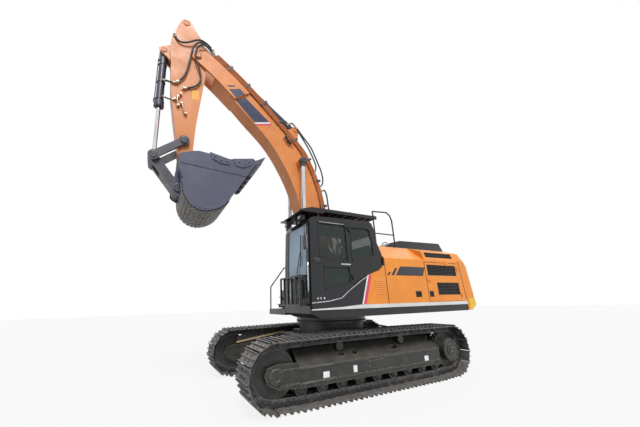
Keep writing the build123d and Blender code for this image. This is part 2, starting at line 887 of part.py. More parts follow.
# Guard over the roof: two side rails, wide slats and a closed visor at the front
guard_rear_x = -413
guard_front_x = 1490
visor_rear_x = 1000
guard_rail = [
    (guard_rear_x, 3277),
    (guard_rear_x, 3347),
    (1230, 3347),
    (guard_front_x, 3275),
    (guard_front_x, 3240),
    (visor_rear_x, 3240),
    (visor_rear_x - 60, 3277),
]
slat_count = 8
slat_width = 100
with BuildPart() as roof_guard:
    for y in (500, 1410):
        plate(guard_rail, y, y + 30)
    slat_step = (visor_rear_x - guard_rear_x) / slat_count
    for i in range(slat_count):
        x = guard_rear_x + i * slat_step
        block(x, x + slat_width, 529, 1411, 3290, 3315)
    block(visor_rear_x, guard_front_x, 529, 1411, 3240, 3256)
    for x in (-100, 1100):
        for y in (515, 1425):
            post((x, y), 14, 3186.4 - 0.02406 * (x - 14) + part_gap, 3290)
roof_guard.part.label = "roof_guard"

lamp_y = (640, 1250)
with BuildPart() as work_lamps:
    for y in lamp_y:
        block(1395, 1405, y - 12, y + 12, 3190, 3240 - part_gap)
        block(1330, 1410, y - 62, y + 62, 3120, 3205)
        block(1405, 1430, y - 52, y + 52, 3130, 3195)
work_lamps.part.label = "work_lamps"

bar_count = 6
guard_rows = (1507, 2010)
with BuildPart() as front_guard:
    for i in range(bar_count):
        y = 566 + i * 160
        block(1520, 1550, y, y + 30, guard_rows[0], guard_rows[1] + 30)
    for z in guard_rows:
        block(1520, 1550, 566, 1396, z, z + 30)
        block(1390 + part_gap, 1520, 566, 596, z, z + 30)
        block(1390 + part_gap, 1520, 1366, 1396, z, z + 30)
front_guard.part.label = "front_guard"

with BuildPart() as seat:
    block(50, 560, 700, 1230, deck_top_z + wall + part_gap, 1900)
    block(0, 160, 700, 1230, 1900, 2600)
seat.part.label = "seat"

# Panel in front of the side panels, with pressed louvres
panel_edge = [
    (body_front_x + 5, panel_bottom_z),
    (body_front_x + 5, 2267),
    (-275, 2160),
    (-106, 2105),
    (57, 2053),
    (260, panel_bottom_z),
]
louvre_count = 7
with BuildPart() as front_panel_left:
    plate(panel_edge, cab_y + part_gap, body_y)
    for i in range(louvre_count):
        z = 1690 + 42 * i
        louvre = [(body_y - 1, z), (body_y + 10, z), (body_y - 1, z + 24)]
        rail(louvre, -350, -100)
front_panel_left.part.label = "front_panel_left"

skirt_edge = [
    (270, panel_bottom_z),
    (80, 2018),
    (221, 1950),
    (533, 1762),
    (730, 1620),
    (997, 1570),
    (1370, 1545),
    (1370, 1449),
    (730, 1471),
    (310, panel_bottom_z),
]
with BuildPart() as cab_skirt:
    plate(skirt_edge, cab_y + part_gap, body_y)
cab_skirt.part.label = "cab_skirt"

hood_rail_y = 1050
hood_rail = [
    (-1290, hood_rail_y, hood_z + part_gap),
    (-1290, hood_rail_y, 3460),
    (-1240, hood_rail_y, 3580),
    (-1140, hood_rail_y, 3650),
    (-690, hood_rail_y, 3622),
    (-690, hood_rail_y, hood_z + part_gap),
]
step_rail = [
    (935, -1450, deck_top_z + part_gap),
    (935, -1450, 1997),
    (521, -1450, 2532),
    (400, -1450, 2532),
    (400, -1450, 2420 + part_gap),
]
with BuildPart() as handrails:
    tube(hood_rail, 17)
    tube([(-1290, hood_rail_y, 3083), (-690, hood_rail_y, 3083)], 14)
    tube(step_rail, 17)
handrails.part.label = "handrails"

# Boom: outline as distances along and across the line between its two end pins
boom_lower = [
    (900, 60),
    (1700, 300),
    (2400, 510),
    (3200, 602),
    (3900, 560),
    (4500, 410),
    (5100, 270),
    (5690, 105),
]
boom_upper = [
    (5640, 600),
    (5107, 780),
    (4454, 1010),
    (3800, 1170),
    (3308, 1285),
    (2900, 1280),
    (2400, 1200),
    (1924, 1050),
    (900, 590),
]


def boom_place(u, v):
    """A place given along and across the line from the boom's foot to its nose."""
    return along(boom_foot, boom_nose, u, v)


nose_u = math.dist(boom_foot, boom_nose)
crowd_ear_y = 100
cheek = 50
nose_cheek = [
    (5050, 300),
    (5480, 172),
    (5700, 100),
    (5950, 10),
    (6230, -110),
    (6311, -140),
    (6420, -90),
    (6470, 60),
    (6465, 217),
    (6400, 290),
    (6251, 343),
    (6036, 444),
    (5761, 545),
    (5640, 600),
    (5107, 770),
]
crowd_ear = [
    boom_place(3300, 1180),
    boom_place(3950, 1080),
    along(crowd_foot, boom_nose, 110, -60),
    along(crowd_foot, boom_nose, 60, 110),
    along(crowd_foot, boom_nose, -90, 90),
]
with BuildPart() as boom:
    with BuildSketch(side.offset(boom_y)) as boom_face:
        with BuildLine():
            lower = Spline(*[boom_place(u, v) for u, v in boom_lower])
            upper = Spline(*[boom_place(u, v) for u, v in boom_upper])
            Line(lower @ 1, upper @ 0)
            Polyline(
                upper @ 1,
                boom_place(-60, 185),
                boom_place(-140, -130),
                boom_place(60, -190),
                lower @ 0,
            )
        make_face()
    extrude(boom_face.sketch, amount=-2 * boom_y)
    disc(boom_foot, 200, -main_plate_y + 6, main_plate_y - 6)
    # Fork that holds the arm: thick cheeks which carry on from the box's sides
    twin([boom_place(u, v) for u, v in nose_cheek], boom_y - 0.5, boom_y + cheek)
    twin(crowd_ear, crowd_ear_y, crowd_ear_y + 40)
    disc(crowd_foot, 50, -crowd_ear_y - 40, crowd_ear_y + 40)
    disc(lift_eye, 105, -lift_y + lift_half + pin_gap, lift_y - lift_half - pin_gap)
    disc(boom_nose, 60, -boom_y - cheek - 30, boom_y + cheek + 30)
    disc(boom_foot, 60 + fit, -400, 400, Mode.SUBTRACT)
boom.part.label = "boom"

# Lift cylinders, one on each side of the boom
lift_length = math.dist(lift_foot, lift_eye)
lift_barrel = 1900
lift_rod = 2000
with BuildPart() as lift_barrels:
    for y in (lift_y, -lift_y):
        disc(lift_foot, 105, y - lift_half, y + lift_half)
        round_bar(lift_foot, lift_eye, y, lift_bar, 60, 140)
        round_bar(lift_foot, lift_eye, y, 90, 135, lift_barrel)
        round_bar(lift_foot, lift_eye, y, 98, lift_barrel - 150, lift_barrel)
        disc(lift_foot, 50 + fit, y - 60, y + 60, Mode.SUBTRACT)
        round_bar(lift_foot, lift_eye, y, lift_bar + fit, 160, lift_barrel + 10, Mode.SUBTRACT)
lift_barrels.part.label = "lift_barrels"

with BuildPart() as lift_rods:
    for y in (lift_y, -lift_y):
        round_bar(lift_foot, lift_eye, y, lift_bar, lift_length - lift_rod, lift_length - 20)
        disc(lift_eye, 92, y - lift_half, y + lift_half)
        disc(lift_eye, 50, y, math.copysign(lift_y + lift_half + 18, y))
lift_rods.part.label = "lift_rods"

# Arm
arm_front = [
    (3660, 4420),
    (3683, 4646),
    (3757, 5037),
    (3871, 5631),
    (3958, 6129),
    (4035, 6938),
    (4085, 7250),
    (4085, 7560),
    (4031, 7818),
    (3925, 8200),
    (3860, 8315),
]
arm_rear = [
    (3740, 8315),
    (3680, 8240),
    (3573, 8067),
    (3388, 7805),
    (3260, 7330),
    (3262, 7000),
    (3268, 6686),
    (3319, 6093),
    (3378, 5400),
    (3394, 4765),
    (3400, 4420),
]
horn_slot = [(3300, 7650), (3300, 8500), (4300, 8500), (4300, 7850), (3600, 7850)]
curl_ear = [(4030, 6980), (4200, 7130), (4290, 7190), (4312, 7260), (4240, 7340), (4030, 7460)]
with BuildPart() as arm:
    plate(arm_front + arm_rear, -arm_y, arm_y)
    disc(arm_tip, 150, -arm_y, arm_y)
    plate(horn_slot, -92, 92, Mode.SUBTRACT)
    twin(curl_ear, 88, 128)
    disc(curl_foot, 45, -128, 128)
    disc(idler_pivot, 110, -207, 207)
    disc(idler_pivot, 55, -285, 285)
    disc(boom_nose, 60 + fit, -400, 400, Mode.SUBTRACT)
    disc(arm_tip, 50 + fit, -400, 400, Mode.SUBTRACT)
arm.part.label = "arm"

crowd_length = math.dist(crowd_foot, crowd_eye)
crowd_barrel = 1800
crowd_rod = 1920
with BuildPart() as crowd_barrel_tube:
    disc(crowd_foot, 110, -92, 92)
    round_bar(crowd_foot, crowd_eye, 0, 95, 40, crowd_barrel)
    round_bar(crowd_foot, crowd_eye, 0, 112, crowd_barrel - 150, crowd_barrel)
    disc(crowd_foot, 50 + fit, -100, 100, Mode.SUBTRACT)
    round_bar(crowd_foot, crowd_eye, 0, 55 + fit, 125, crowd_barrel + 10, Mode.SUBTRACT)
crowd_barrel_tube.part.label = "crowd_barrel"

with BuildPart() as crowd_rod_bar:
    round_bar(crowd_foot, crowd_eye, 0, 55, crowd_length - crowd_rod, crowd_length - 20)
    disc(crowd_eye, 110, -85, 85)
crowd_rod_bar.part.label = "crowd_rod"

curl_length = math.dist(curl_foot, link_joint)
curl_barrel = 1480
curl_rod = 1500
with BuildPart() as curl_barrel_tube:
    disc(curl_foot, 95, -80, 80)
    round_bar(curl_foot, link_joint, 0, 80, 40, curl_barrel)
    round_bar(curl_foot, link_joint, 0, 100, curl_barrel - 150, curl_barrel)
    disc(curl_foot, 45 + fit, -100, 100, Mode.SUBTRACT)
    round_bar(curl_foot, link_joint, 0, 45 + fit, 115, curl_barrel + 10, Mode.SUBTRACT)
curl_barrel_tube.part.label = "curl_barrel"

with BuildPart() as curl_rod_bar:
    round_bar(curl_foot, link_joint, 0, 45, curl_length - curl_rod, curl_length - 20)
    disc(link_joint, 105, -85, 85)
curl_rod_bar.part.label = "curl_rod"

# Links between arm, bucket cylinder and bucket
idler_length = math.dist(idler_pivot, link_joint)
with BuildPart() as idler_links:
    for y in (212, -272):
        strut(idler_pivot, link_joint, 0, idler_length, 75, y, y + 60)
        disc(idler_pivot, 110, y, y + 60)
        disc(link_joint, 105, y, y + 60)
        disc(idler_pivot, 55 + fit, y - 10, y + 70, Mode.SUBTRACT)
    disc(link_joint, 50, 92, 212)
    disc(link_joint, 50, -212, -92)
idler_links.part.label = "idler_links"

link_length = math.dist(bucket_pin, link_joint)
with BuildPart() as bucket_link:
    strut(bucket_pin, link_joint, 0, link_length, 85, -198, 198)
    disc(bucket_pin, 110, -198, 198)
    disc(link_joint, 105, -198, 198)
    strut(bucket_pin, link_joint, link_length - 340, link_length + 200, 200, -90, 90, Mode.SUBTRACT)
    disc(link_joint, 50 + fit, -300, 300, Mode.SUBTRACT)
bucket_link.part.label = "bucket_link"

# Bucket: a bent floor and back between two side plates, with a pocket for the arm's tip
bucket_sheet = 30
lip_sheet = 36
bucket_lip = (2095, 4527)
floor_end = (2674, 3563)
heel_places = [(3080, 3295), (3470, 3480), (3560, 3877)]
bucket_back = [(3608, 4013), (3660, 4108), (3684, 4381)]
bucket_rim = [(3427, 4488), (3315, 4516), (3120, 4505), (2857, 4455), (2640, 4480), (2174, 4588)]
pocket_y = 205
ear_sheet = 60
ear_y = pocket_y + ear_sheet
pocket_line = [(3515, 3600), (3400, 3730), (3340, 3860), (3260, 4040), (3230, 4200), (3230, 4410)]


def bucket_face(grow):
    """The bucket's side outline, grown outward by an amount."""
    with BuildSketch(side) as face:
        with BuildLine():
            bend = Line(bucket_lip, floor_end)
            for place in heel_places:
                bend = TangentArc(bend @ 1, place, tangent=bend % 1)
            Polyline(bend @ 1, *bucket_back, *bucket_rim, bucket_lip)
        make_face()
        if grow:
            offset(amount=grow, mode=Mode.REPLACE)
    return face.sketch


def across_from(face, y_from, y_to, mode=Mode.ADD):
    """A finished side outline, filled between two places along Y."""
    extrude(face.moved(Location((0, y_from, 0))), amount=y_from - y_to, mode=mode)


def lip_place(ahead, outward):
    """A place ahead of the bucket's lip and outward from its floor."""
    return along(floor_end, bucket_lip, math.dist(floor_end, bucket_lip) + ahead, outward)


inner_y = bucket_y - bucket_sheet
strip_y = [-480, -240, 0, 240, 480]
strip_width = 90
strip_thick = 14
strip_face = bucket_face(strip_thick) & flat_face([(2560, 3000), (3700, 3000), (3700, 3640), (2560, 3640)])
mouth = [
    lip_place(-60, -lip_sheet),
    lip_place(150, -lip_sheet),
    (2250, 5000),
    (3640, 5000),
    (3640, 4250),
    (2700, 4000),
]
hollow_face = bucket_face(-bucket_sheet) + flat_face(mouth)
pocket_inner = [(x - bucket_sheet, z) for x, z in pocket_line]
ear_rim = [
    (3400, 4440),
    (3600, 4440),
    (3690, 4370),
    (3690, 4150),
    (3735, 3900),
    (3735, 3760),
    (3660, 3700),
    (3540, 3640),
]
pocket_way = pocket_line[:-1] + [(3230, 4700), (4000, 4700), (4000, 3600)]
side_cutters = [
    [(3106, 4533), (2674, 4452), (2700, 4330), (2900, 4330), (3060, 4410)],
    [(2633, 4484), (2174, 4592), (2240, 4420), (2400, 4330), (2570, 4340)],
]
with BuildPart() as bucket:
    across_from(bucket_face(0), -bucket_y, bucket_y)
    for y in strip_y:
        across_from(strip_face, y - strip_width / 2, y + strip_width / 2)
    across_from(hollow_face, -inner_y, inner_y, Mode.SUBTRACT)
    # Thick edges along both side plates, and cutters bolted over them
    edge_plate = [(3641, 4197), lip_place(-447, 0), bucket_lip] + bucket_rim[::-1] + [bucket_back[-1]]
    twin(edge_plate, bucket_y - 1, bucket_y + 12)
    for cutter in side_cutters:
        twin(cutter, bucket_y, bucket_y + 32)
    # Pocket between the two ears, open to the arm and the link
    plate(pocket_inner + ear_rim, -ear_y, ear_y)
    disc(arm_tip, 120, -ear_y, ear_y)
    disc(bucket_pin, 125, -ear_y, ear_y)
    plate(pocket_way, -pocket_y, pocket_y, Mode.SUBTRACT)
    disc(arm_tip, 50, -ear_y - 18, ear_y + 18)
    for y in (ear_y, -ear_y - 18):
        disc(bucket_pin, 60, y, y + 18)
bucket.part.label = "bucket"

tooth_count = 5
adapter_width = 90
tooth_width = 76
tooth_y = inner_y - side_gap - adapter_width / 2
adapter = [
    lip_place(-330, part_gap),
    lip_place(-330, 55),
    lip_place(-250, 98),
    lip_place(72, 98),
    lip_place(72, -35),
    lip_place(0, -75),
    lip_place(-170, -75),
    lip_place(-170, -lip_sheet - part_gap),
    lip_place(side_gap, -lip_sheet - part_gap),
    lip_place(side_gap, part_gap),
]
tooth = [lip_place(70, 94), lip_place(275, 82), lip_place(275, 70), lip_place(70, -31)]
with BuildPart() as bucket_teeth:
    for i in range(tooth_count):
        y = -tooth_y + 2 * tooth_y * i / (tooth_count - 1)
        plate(adapter, y - adapter_width / 2, y + adapter_width / 2)
        plate(tooth, y - tooth_width / 2, y + tooth_width / 2)
bucket_teeth.part.label = "bucket_teeth"

pieces = [
    car_body, track_frame_left, track_frame_right, track_left, track_right,
    idler_left, idler_right, sprocket_left, sprocket_right, rollers_left, rollers_right,
    slew_ring_fixed, slew_ring_turning, swing_frame, counterweight,
    body_shell_left, body_shell_right, side_door_left, side_door_right, rear_panels,
    door_grille_left, door_grille_right, body_grilles, sills,
    hood_top, engine_bonnet, bulkhead, engine, fuel_tank, tool_box,
    cab_shell, cab_door, cab_glass, door_glass, roof_guard, work_lamps, front_guard,
    seat, front_panel_left, cab_skirt,
    handrails, boom, lift_barrels, lift_rods, arm, crowd_barrel_tube, crowd_rod_bar,
    curl_barrel_tube, curl_rod_bar, idler_links, bucket_link, bucket, bucket_teeth,
]

os.makedirs("parts", exist_ok=True)
for piece in pieces:
    export_step(piece.part, "parts/" + piece.part.label + ".step")
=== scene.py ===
# %% [markdown]
# # A crawler excavator
# The machine comes in as a fixed frame of rigid pieces, and this lesson dresses it. Paint, rubber and
# bare steel are what tell the eye how large and how used a machine is, so each finish is worked out
# from the real stuff first. Small pieces that only show close up, such as bolts and hoses, come after.

# %% The frame
import json
import math

import bmesh
import bpy
from mathutils import Matrix, Vector


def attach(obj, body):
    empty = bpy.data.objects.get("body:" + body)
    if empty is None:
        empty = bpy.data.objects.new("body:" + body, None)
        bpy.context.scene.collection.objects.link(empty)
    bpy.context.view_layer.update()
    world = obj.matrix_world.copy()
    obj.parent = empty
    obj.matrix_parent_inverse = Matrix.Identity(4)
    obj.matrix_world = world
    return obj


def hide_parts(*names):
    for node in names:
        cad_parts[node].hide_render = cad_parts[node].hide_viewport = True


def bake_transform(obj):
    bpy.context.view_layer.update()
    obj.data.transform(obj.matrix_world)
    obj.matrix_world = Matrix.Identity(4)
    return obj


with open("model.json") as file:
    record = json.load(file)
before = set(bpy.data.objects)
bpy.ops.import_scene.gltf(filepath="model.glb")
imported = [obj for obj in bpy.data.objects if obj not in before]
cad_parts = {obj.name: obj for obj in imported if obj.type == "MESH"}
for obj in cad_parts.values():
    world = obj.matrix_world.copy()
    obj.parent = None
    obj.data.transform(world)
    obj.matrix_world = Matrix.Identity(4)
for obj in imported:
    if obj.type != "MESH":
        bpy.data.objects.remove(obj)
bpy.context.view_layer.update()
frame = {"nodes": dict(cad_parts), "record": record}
# The axis that the upper body turns on stands this far from the frame's middle
slew_x = -0.361
print("nodes in the frame:", len(frame["nodes"]))

# %% [markdown]
# ## Camera
# The photograph was taken from low down beside the left track, with a wide lens. The camera stands
# where the lines of the tracks, cab and boom say that it stood. All places below count X from the
# axis that the upper body turns on, and are moved by slew_x into the frame.

# %% Camera
camera_place = Vector((3.833 + slew_x, 5.696, 1.568))
yaw = math.radians(-116.709)
pitch = math.radians(16.812)
roll = math.radians(-1.542)
focal_pixels = 270.15
image_width, image_height = 640, 427
axis_x, axis_y = 291.5, 221.0
forward = Vector((math.cos(yaw) * math.cos(pitch), math.sin(yaw) * math.cos(pitch), math.sin(pitch)))
level = forward.cross(Vector((0, 0, 1))).normalized()
rise = level.cross(forward)
right = level * math.cos(roll) + rise * math.sin(roll)
up = rise * math.cos(roll) - level * math.sin(roll)
camera_data = bpy.data.cameras.new("camera")
camera_data.sensor_width = 36
camera_data.lens = 36 * focal_pixels / image_width
camera_data.shift_x = (image_width / 2 - axis_x) / image_width
camera_data.shift_y = (axis_y - image_height / 2) / image_width
camera_data.clip_end = 300
camera = bpy.data.objects.new("camera", camera_data)
camera.matrix_world = Matrix.Translation(camera_place) @ Matrix((right, up, -forward)).transposed().to_4x4()
bpy.context.collection.objects.link(camera)
bpy.context.scene.camera = camera
bpy.context.scene.view_settings.view_transform = "Standard"
print("camera at", [round(c, 2) for c in camera_place], "with a lens of", round(camera_data.lens, 1), "mm")

# %% [markdown]
# ## Colours and nodes
# Paint makers and screens give colours as sRGB hex values, while Blender's shaders count light in
# linear steps. One function turns the first into the second. A second adds any node to a material,
# and a third turns the size of a real pattern in millimetres into the scale of a noise.

# %% Helpers for materials
def colour(hex_value):
    """An sRGB hex colour as the linear values that a shader takes."""
    parts = [int(hex_value[i : i + 2], 16) / 255 for i in (1, 3, 5)]
    linear = [p / 12.92 if p <= 0.04045 else ((p + 0.055) / 1.055) ** 2.4 for p in parts]
    return (*linear, 1.0)


def add_node(tree, kind, settings=None, links=None):
    """Adds a node, sets its properties and input values, and links sockets into its inputs."""
    made = tree.nodes.new(kind)
    for key, value in (settings or {}).items():
        if isinstance(key, int) or key in made.inputs:
            made.inputs[key].default_value = value
        else:
            setattr(made, key, value)
    for key, socket in (links or {}).items():
        tree.links.new(socket, made.inputs[key])
    return made


def per_metre(size_mm):
    """The scale at which a noise repeats about once in a real size."""
    return 1000 / size_mm


def new_material(name, base_hex, roughness, metallic=0.0):
    """A material with its shader, and the place on the object in metres for its patterns."""
    made = bpy.data.materials.new(name)
    made.use_nodes = True
    tree = made.node_tree
    tree.nodes.clear()
    settings = {"Base Color": colour(base_hex), "Roughness": roughness, "Metallic": metallic}
    shader = add_node(tree, "ShaderNodeBsdfPrincipled", settings)
    output = add_node(tree, "ShaderNodeOutputMaterial")
    tree.links.new(shader.outputs["BSDF"], output.inputs["Surface"])
    place = add_node(tree, "ShaderNodeTexCoord").outputs["Object"]
    return made, tree, shader, place


print("a screen's middle grey is", round(colour("#808080")[0], 2), "in linear light")


# %% [markdown]
# ## Patterns that every used surface shares
# Dust settles on what faces up, edges rub bare, and no plate is quite flat. Each is a small group of
# nodes. Patches of noise give the uneven spread, the upward part of the surface's direction gives the
# dust, and a rounded copy of the surface differs from the true one only near an edge.

# %% Patches, dust, edges and bumps
def patches(tree, place, size_mm, low, high, to_low=0.0, to_high=1.0, detail=5.0):
    """Uneven patches of one size, as numbers from to_low to to_high."""
    settings = {"Scale": per_metre(size_mm), "Detail": detail, "Roughness": 0.6}
    noise = add_node(tree, "ShaderNodeTexNoise", settings, {"Vector": place})
    spread = {"From Min": low, "From Max": high, "To Min": to_low, "To Max": to_high}
    return add_node(tree, "ShaderNodeMapRange", spread, {"Value": noise.outputs["Fac"]}).outputs["Result"]


def multiply(tree, first, second):
    """The product of two numbers, either of which may be fixed."""
    made = add_node(tree, "ShaderNodeMath", {"operation": "MULTIPLY"})
    for i, value in enumerate((first, second)):
        if isinstance(value, float):
            made.inputs[i].default_value = value
        else:
            tree.links.new(value, made.inputs[i])
    return made.outputs[0]


def facing_up(tree, from_up=0.2, to_up=0.9):
    """One where the surface faces up, and none where it faces sideways or down."""
    normal = add_node(tree, "ShaderNodeNewGeometry").outputs["Normal"]
    up_part = add_node(tree, "ShaderNodeSeparateXYZ", None, {0: normal}).outputs["Z"]
    spread = {"From Min": from_up, "From Max": to_up}
    return add_node(tree, "ShaderNodeMapRange", spread, {"Value": up_part}).outputs["Result"]


def near_edge(tree, radius_mm):
    """One along sharp edges, fading within a radius."""
    rounded = add_node(tree, "ShaderNodeBevel", {"samples": 4, "Radius": radius_mm / 1000}).outputs[0]
    true = add_node(tree, "ShaderNodeNewGeometry").outputs["True Normal"]
    dot = add_node(tree, "ShaderNodeVectorMath", {"operation": "DOT_PRODUCT"}, {0: rounded, 1: true})
    spread = {"From Min": 0.98, "From Max": 0.8}
    return add_node(tree, "ShaderNodeMapRange", spread, {"Value": dot.outputs["Value"]}).outputs["Result"]


def blend_in(tree, under, over_hex, share):
    """A second colour laid over the first by a share from none to one."""
    made = add_node(tree, "ShaderNodeMix", {"data_type": "RGBA"}, {0: share})
    made.inputs[7].default_value = colour(over_hex)
    if isinstance(under, str):
        made.inputs[6].default_value = colour(under)
    else:
        tree.links.new(under, made.inputs[6])
    return made.outputs[2]


def add_bump(tree, shader, place, size_mm, depth_mm, strength=1.0, under=None):
    """Fine relief of one grain size and depth."""
    grain = add_node(
        tree, "ShaderNodeTexNoise", {"Scale": per_metre(size_mm), "Detail": 3.0}, {"Vector": place}
    )
    links = {"Height": grain.outputs["Fac"]}
    if under:
        links["Normal"] = under
    bump = add_node(tree, "ShaderNodeBump", {"Strength": strength, "Distance": depth_mm / 1000}, links)
    tree.links.new(bump.outputs["Normal"], shader.inputs["Normal"])
    return bump.outputs["Normal"]


# %% [markdown]
# ## Enamel on steel plate
# The machine's body is steel plate with two sprayed coats of enamel. Enamel is a smooth film, so it
# takes a clear highlight, which dust dulls. Real orange peel is about 1.5 mm across, too fine to show
# here, so it is drawn 12 mm across. Colour drifts over about 0.7 m, as each panel weathered alone.

# %% Enamel
def enamel(name, paint_hex, drift_hex, dust_hex, roughness, dust, worn_hex=None, worn_mm=8, drift_mm=700):
    """Sprayed enamel: drifting colour, dust that gathers on top, orange peel, and rubbed edges."""
    made, tree, shader, place = new_material(name, paint_hex, roughness)
    paint = blend_in(tree, paint_hex, drift_hex, patches(tree, place, drift_mm, 0.35, 0.7))
    settled = multiply(tree, facing_up(tree), patches(tree, place, 260, 0.3, 0.7, 0.35, 1.0))
    paint = blend_in(tree, paint, dust_hex, multiply(tree, settled, dust))
    film = multiply(tree, patches(tree, place, 120, 0.45, 0.75), dust * 0.35)
    paint = blend_in(tree, paint, dust_hex, film)
    if worn_hex:
        rubbed = multiply(tree, near_edge(tree, worn_mm), patches(tree, place, 45, 0.4, 0.55))
        paint = blend_in(tree, paint, worn_hex, rubbed)
    tree.links.new(paint, shader.inputs["Base Color"])
    dull = patches(tree, place, 300, 0.3, 0.75, roughness - 0.07, roughness + 0.18)
    tree.links.new(dull, shader.inputs["Roughness"])
    waves = add_bump(tree, shader, place, 420, 6.0, 0.35)
    add_bump(tree, shader, place, 12, 0.25, 0.3, waves)
    shader.inputs["IOR"].default_value = 1.5
    return made


orange_enamel = enamel("orange_enamel_on_plate", "#E88C28", "#DC8226", "#F0C08C", 0.28, 0.30)
boom_enamel = enamel("orange_enamel_on_the_boom", "#DF8A48", "#CE7838", "#EDB98B", 0.36, 0.5, "#99582C", 6)
arm_enamel = enamel("orange_enamel_on_the_arm", "#D27F40", "#C27034", "#E3AE80", 0.36, 0.45, "#8F5229", 6)
# Darker, browner orange on the pipes is painted shade of their shadowed sides.
pipe_orange_with_painted_shade = enamel("darker_orange_painted_shade_on_the_pipes", "#B9682F", "#A05624", "#D99B69", 0.34, 0.4)
black_enamel = enamel("black_enamel_on_plate", "#0E0F13", "#17181D", "#5A5955", 0.22, 0.13)
slate_enamel = enamel(
    "slate_enamel_on_the_bucket", "#43455A", "#4E5063", "#6E6C6C", 0.42, 0.45, "#8B8A8C", 14
)
link_enamel = enamel("dark_enamel_on_the_links", "#3A3B44", "#44454C", "#6A6762", 0.42, 0.4, "#77767A", 10)
frame_enamel = enamel(
    "dark_enamel_on_the_track_frames", "#1D1D1C", "#2D2C2A", "#6B675C", 0.40, 0.5, "#8A8578", 14
)
navy_enamel = enamel("navy_enamel_on_tubes", "#2F3145", "#3B3D52", "#66666E", 0.3, 0.3)
rail_enamel = enamel("dark_enamel_on_rails", "#17181C", "#202126", "#5F5E5A", 0.32, 0.16)
# Near white on the sills is a painted highlight of light along the dark deck's edge, with dust over it.
sill_painted_highlight = enamel("near_white_painted_highlight_on_sills", "#D9D9D8", "#C6C6C5", "#B4AFA6", 0.35, 0.3)
# Beige on a strip of the far track frame is a painted highlight, with dust over it.
far_frame_painted_highlight = enamel("beige_painted_highlight_on_the_far_frame", "#B9A078", "#A68E68", "#8A7A63", 0.55, 0.4)
yellow_enamel = enamel("yellow_enamel", "#E7BD33", "#DDB030", "#EBD59A", 0.4, 0.3)
print("enamels:", len(bpy.data.materials))

# %% [markdown]
# ## Track shoes and castings
# Shoes are rolled steel that the ground scrapes, so they stay matt and dark on their sides, pale with
# dried dust on top, and bright only along the grousers' edges. Teeth and rollers are cast, with a
# grain of about 3 mm from the sand of the mould.

# %% Worn steel
def worn_steel(name, dark_hex, dust_hex, bright_hex, roughness, top_share, edge_mm, grain_mm=30):
    """Worn steel: dark sides, dusty tops and scraped edges over a coarse grain."""
    made, tree, shader, place = new_material(name, dark_hex, roughness, 0.35)
    steel = blend_in(tree, dark_hex, dust_hex, patches(tree, place, 160, 0.48, 0.72, 0.0, 0.55))
    on_top = multiply(tree, facing_up(tree, 0.1, 0.8), patches(tree, place, 90, 0.25, 0.6, 0.4, 1.0))
    steel = blend_in(tree, steel, dust_hex, multiply(tree, on_top, top_share))
    steel = blend_in(tree, steel, bright_hex, multiply(tree, near_edge(tree, edge_mm), 0.7))
    tree.links.new(steel, shader.inputs["Base Color"])
    tree.links.new(
        patches(tree, place, 70, 0.3, 0.7, roughness - 0.12, roughness + 0.2), shader.inputs["Roughness"]
    )
    add_bump(tree, shader, place, grain_mm, 2.0, 0.4)
    return made


shoe_steel = worn_steel("rolled_shoe_steel", "#363537", "#8C8781", "#A7A4A0", 0.5, 0.8, 9)
link_steel = worn_steel("forged_link_steel", "#2E2D2E", "#6E6A64", "#8A8785", 0.5, 0.4, 6)
bar_steel = worn_steel("bare_steel_on_wear_bars", "#46403B", "#6B635B", "#A39B92", 0.45, 0.45, 14)
tooth_steel = worn_steel("cast_tooth_steel", "#4C4E5A", "#77766F", "#9A999B", 0.45, 0.4, 10)
engine_iron = worn_steel("painted_cast_iron", "#4B4D50", "#5F5C57", "#77757A", 0.6, 0.3, 8)
print("finishes with the worn steels:", len(bpy.data.materials))

# %% [markdown]
# ## Chrome, zinc, rubber and glass
# A rod is hard chrome ground to a mirror, with an oil film that carries faint rings of dirt. Bolts and
# couplings are zinc plated, which is pale and a little yellow. Hoses are rubber with a wrapped cloth
# mark. The side windows are green tinted safety glass, the windshield's pale blue is a painted
# reflection, and decals are a thin vinyl film with a soft gloss.

# %% Chrome, zinc, rubber, glass and vinyl
def plain_finish(name, base_hex, drift_hex, roughness, metallic=0.0, patch_mm=80, grain_mm=6.0, depth_mm=0.3):
    """A finish whose colour and gloss vary in patches, over a fine grain."""
    made, tree, shader, place = new_material(name, base_hex, roughness, metallic)
    tint = blend_in(tree, base_hex, drift_hex, patches(tree, place, patch_mm, 0.4, 0.7))
    tree.links.new(tint, shader.inputs["Base Color"])
    tree.links.new(
        patches(tree, place, patch_mm, 0.3, 0.7, roughness * 0.75, roughness * 1.4),
        shader.inputs["Roughness"],
    )
    add_bump(tree, shader, place, grain_mm, depth_mm, 0.3)
    return made


rod_chrome = plain_finish("ground_hard_chrome", "#D6D8DB", "#BFC2C6", 0.1, 1.0, 300, 40, 0.1)
zinc_plate = plain_finish("zinc_plated_steel", "#B9B3A2", "#8F8878", 0.32, 1.0, 40)
bright_trim = plain_finish("anodised_aluminium_trim", "#C9CBCF", "#B3B6BA", 0.22, 1.0, 200, 20, 0.1)
hose_rubber = plain_finish("wrapped_hose_rubber", "#26262A", "#37363A", 0.5, 0.0, 60, 10, 0.8)
seal_rubber = plain_finish("moulded_seal_rubber", "#1B1B1D", "#29292B", 0.7)
cab_plastic = plain_finish("moulded_grey_plastic", "#3C3D41", "#46474B", 0.5, 0.0, 150, 5, 0.4)
navy_vinyl = plain_finish("navy_vinyl", "#34374F", "#3F4159", 0.3, 0.0, 400, 60, 0.1)
dark_vinyl = plain_finish("black_vinyl", "#2B2B30", "#35353A", 0.3, 0.0, 400, 60, 0.1)
white_vinyl = plain_finish("white_vinyl", "#E9E9EA", "#DCDCDD", 0.3, 0.0, 300, 60, 0.1)
red_vinyl = plain_finish("red_vinyl", "#D5405A", "#C33A52", 0.3, 0.0, 300, 60, 0.1)
yellow_vinyl = plain_finish("yellow_vinyl", "#EFA318", "#E39A1C", 0.35, 0.0, 200, 60, 0.1)
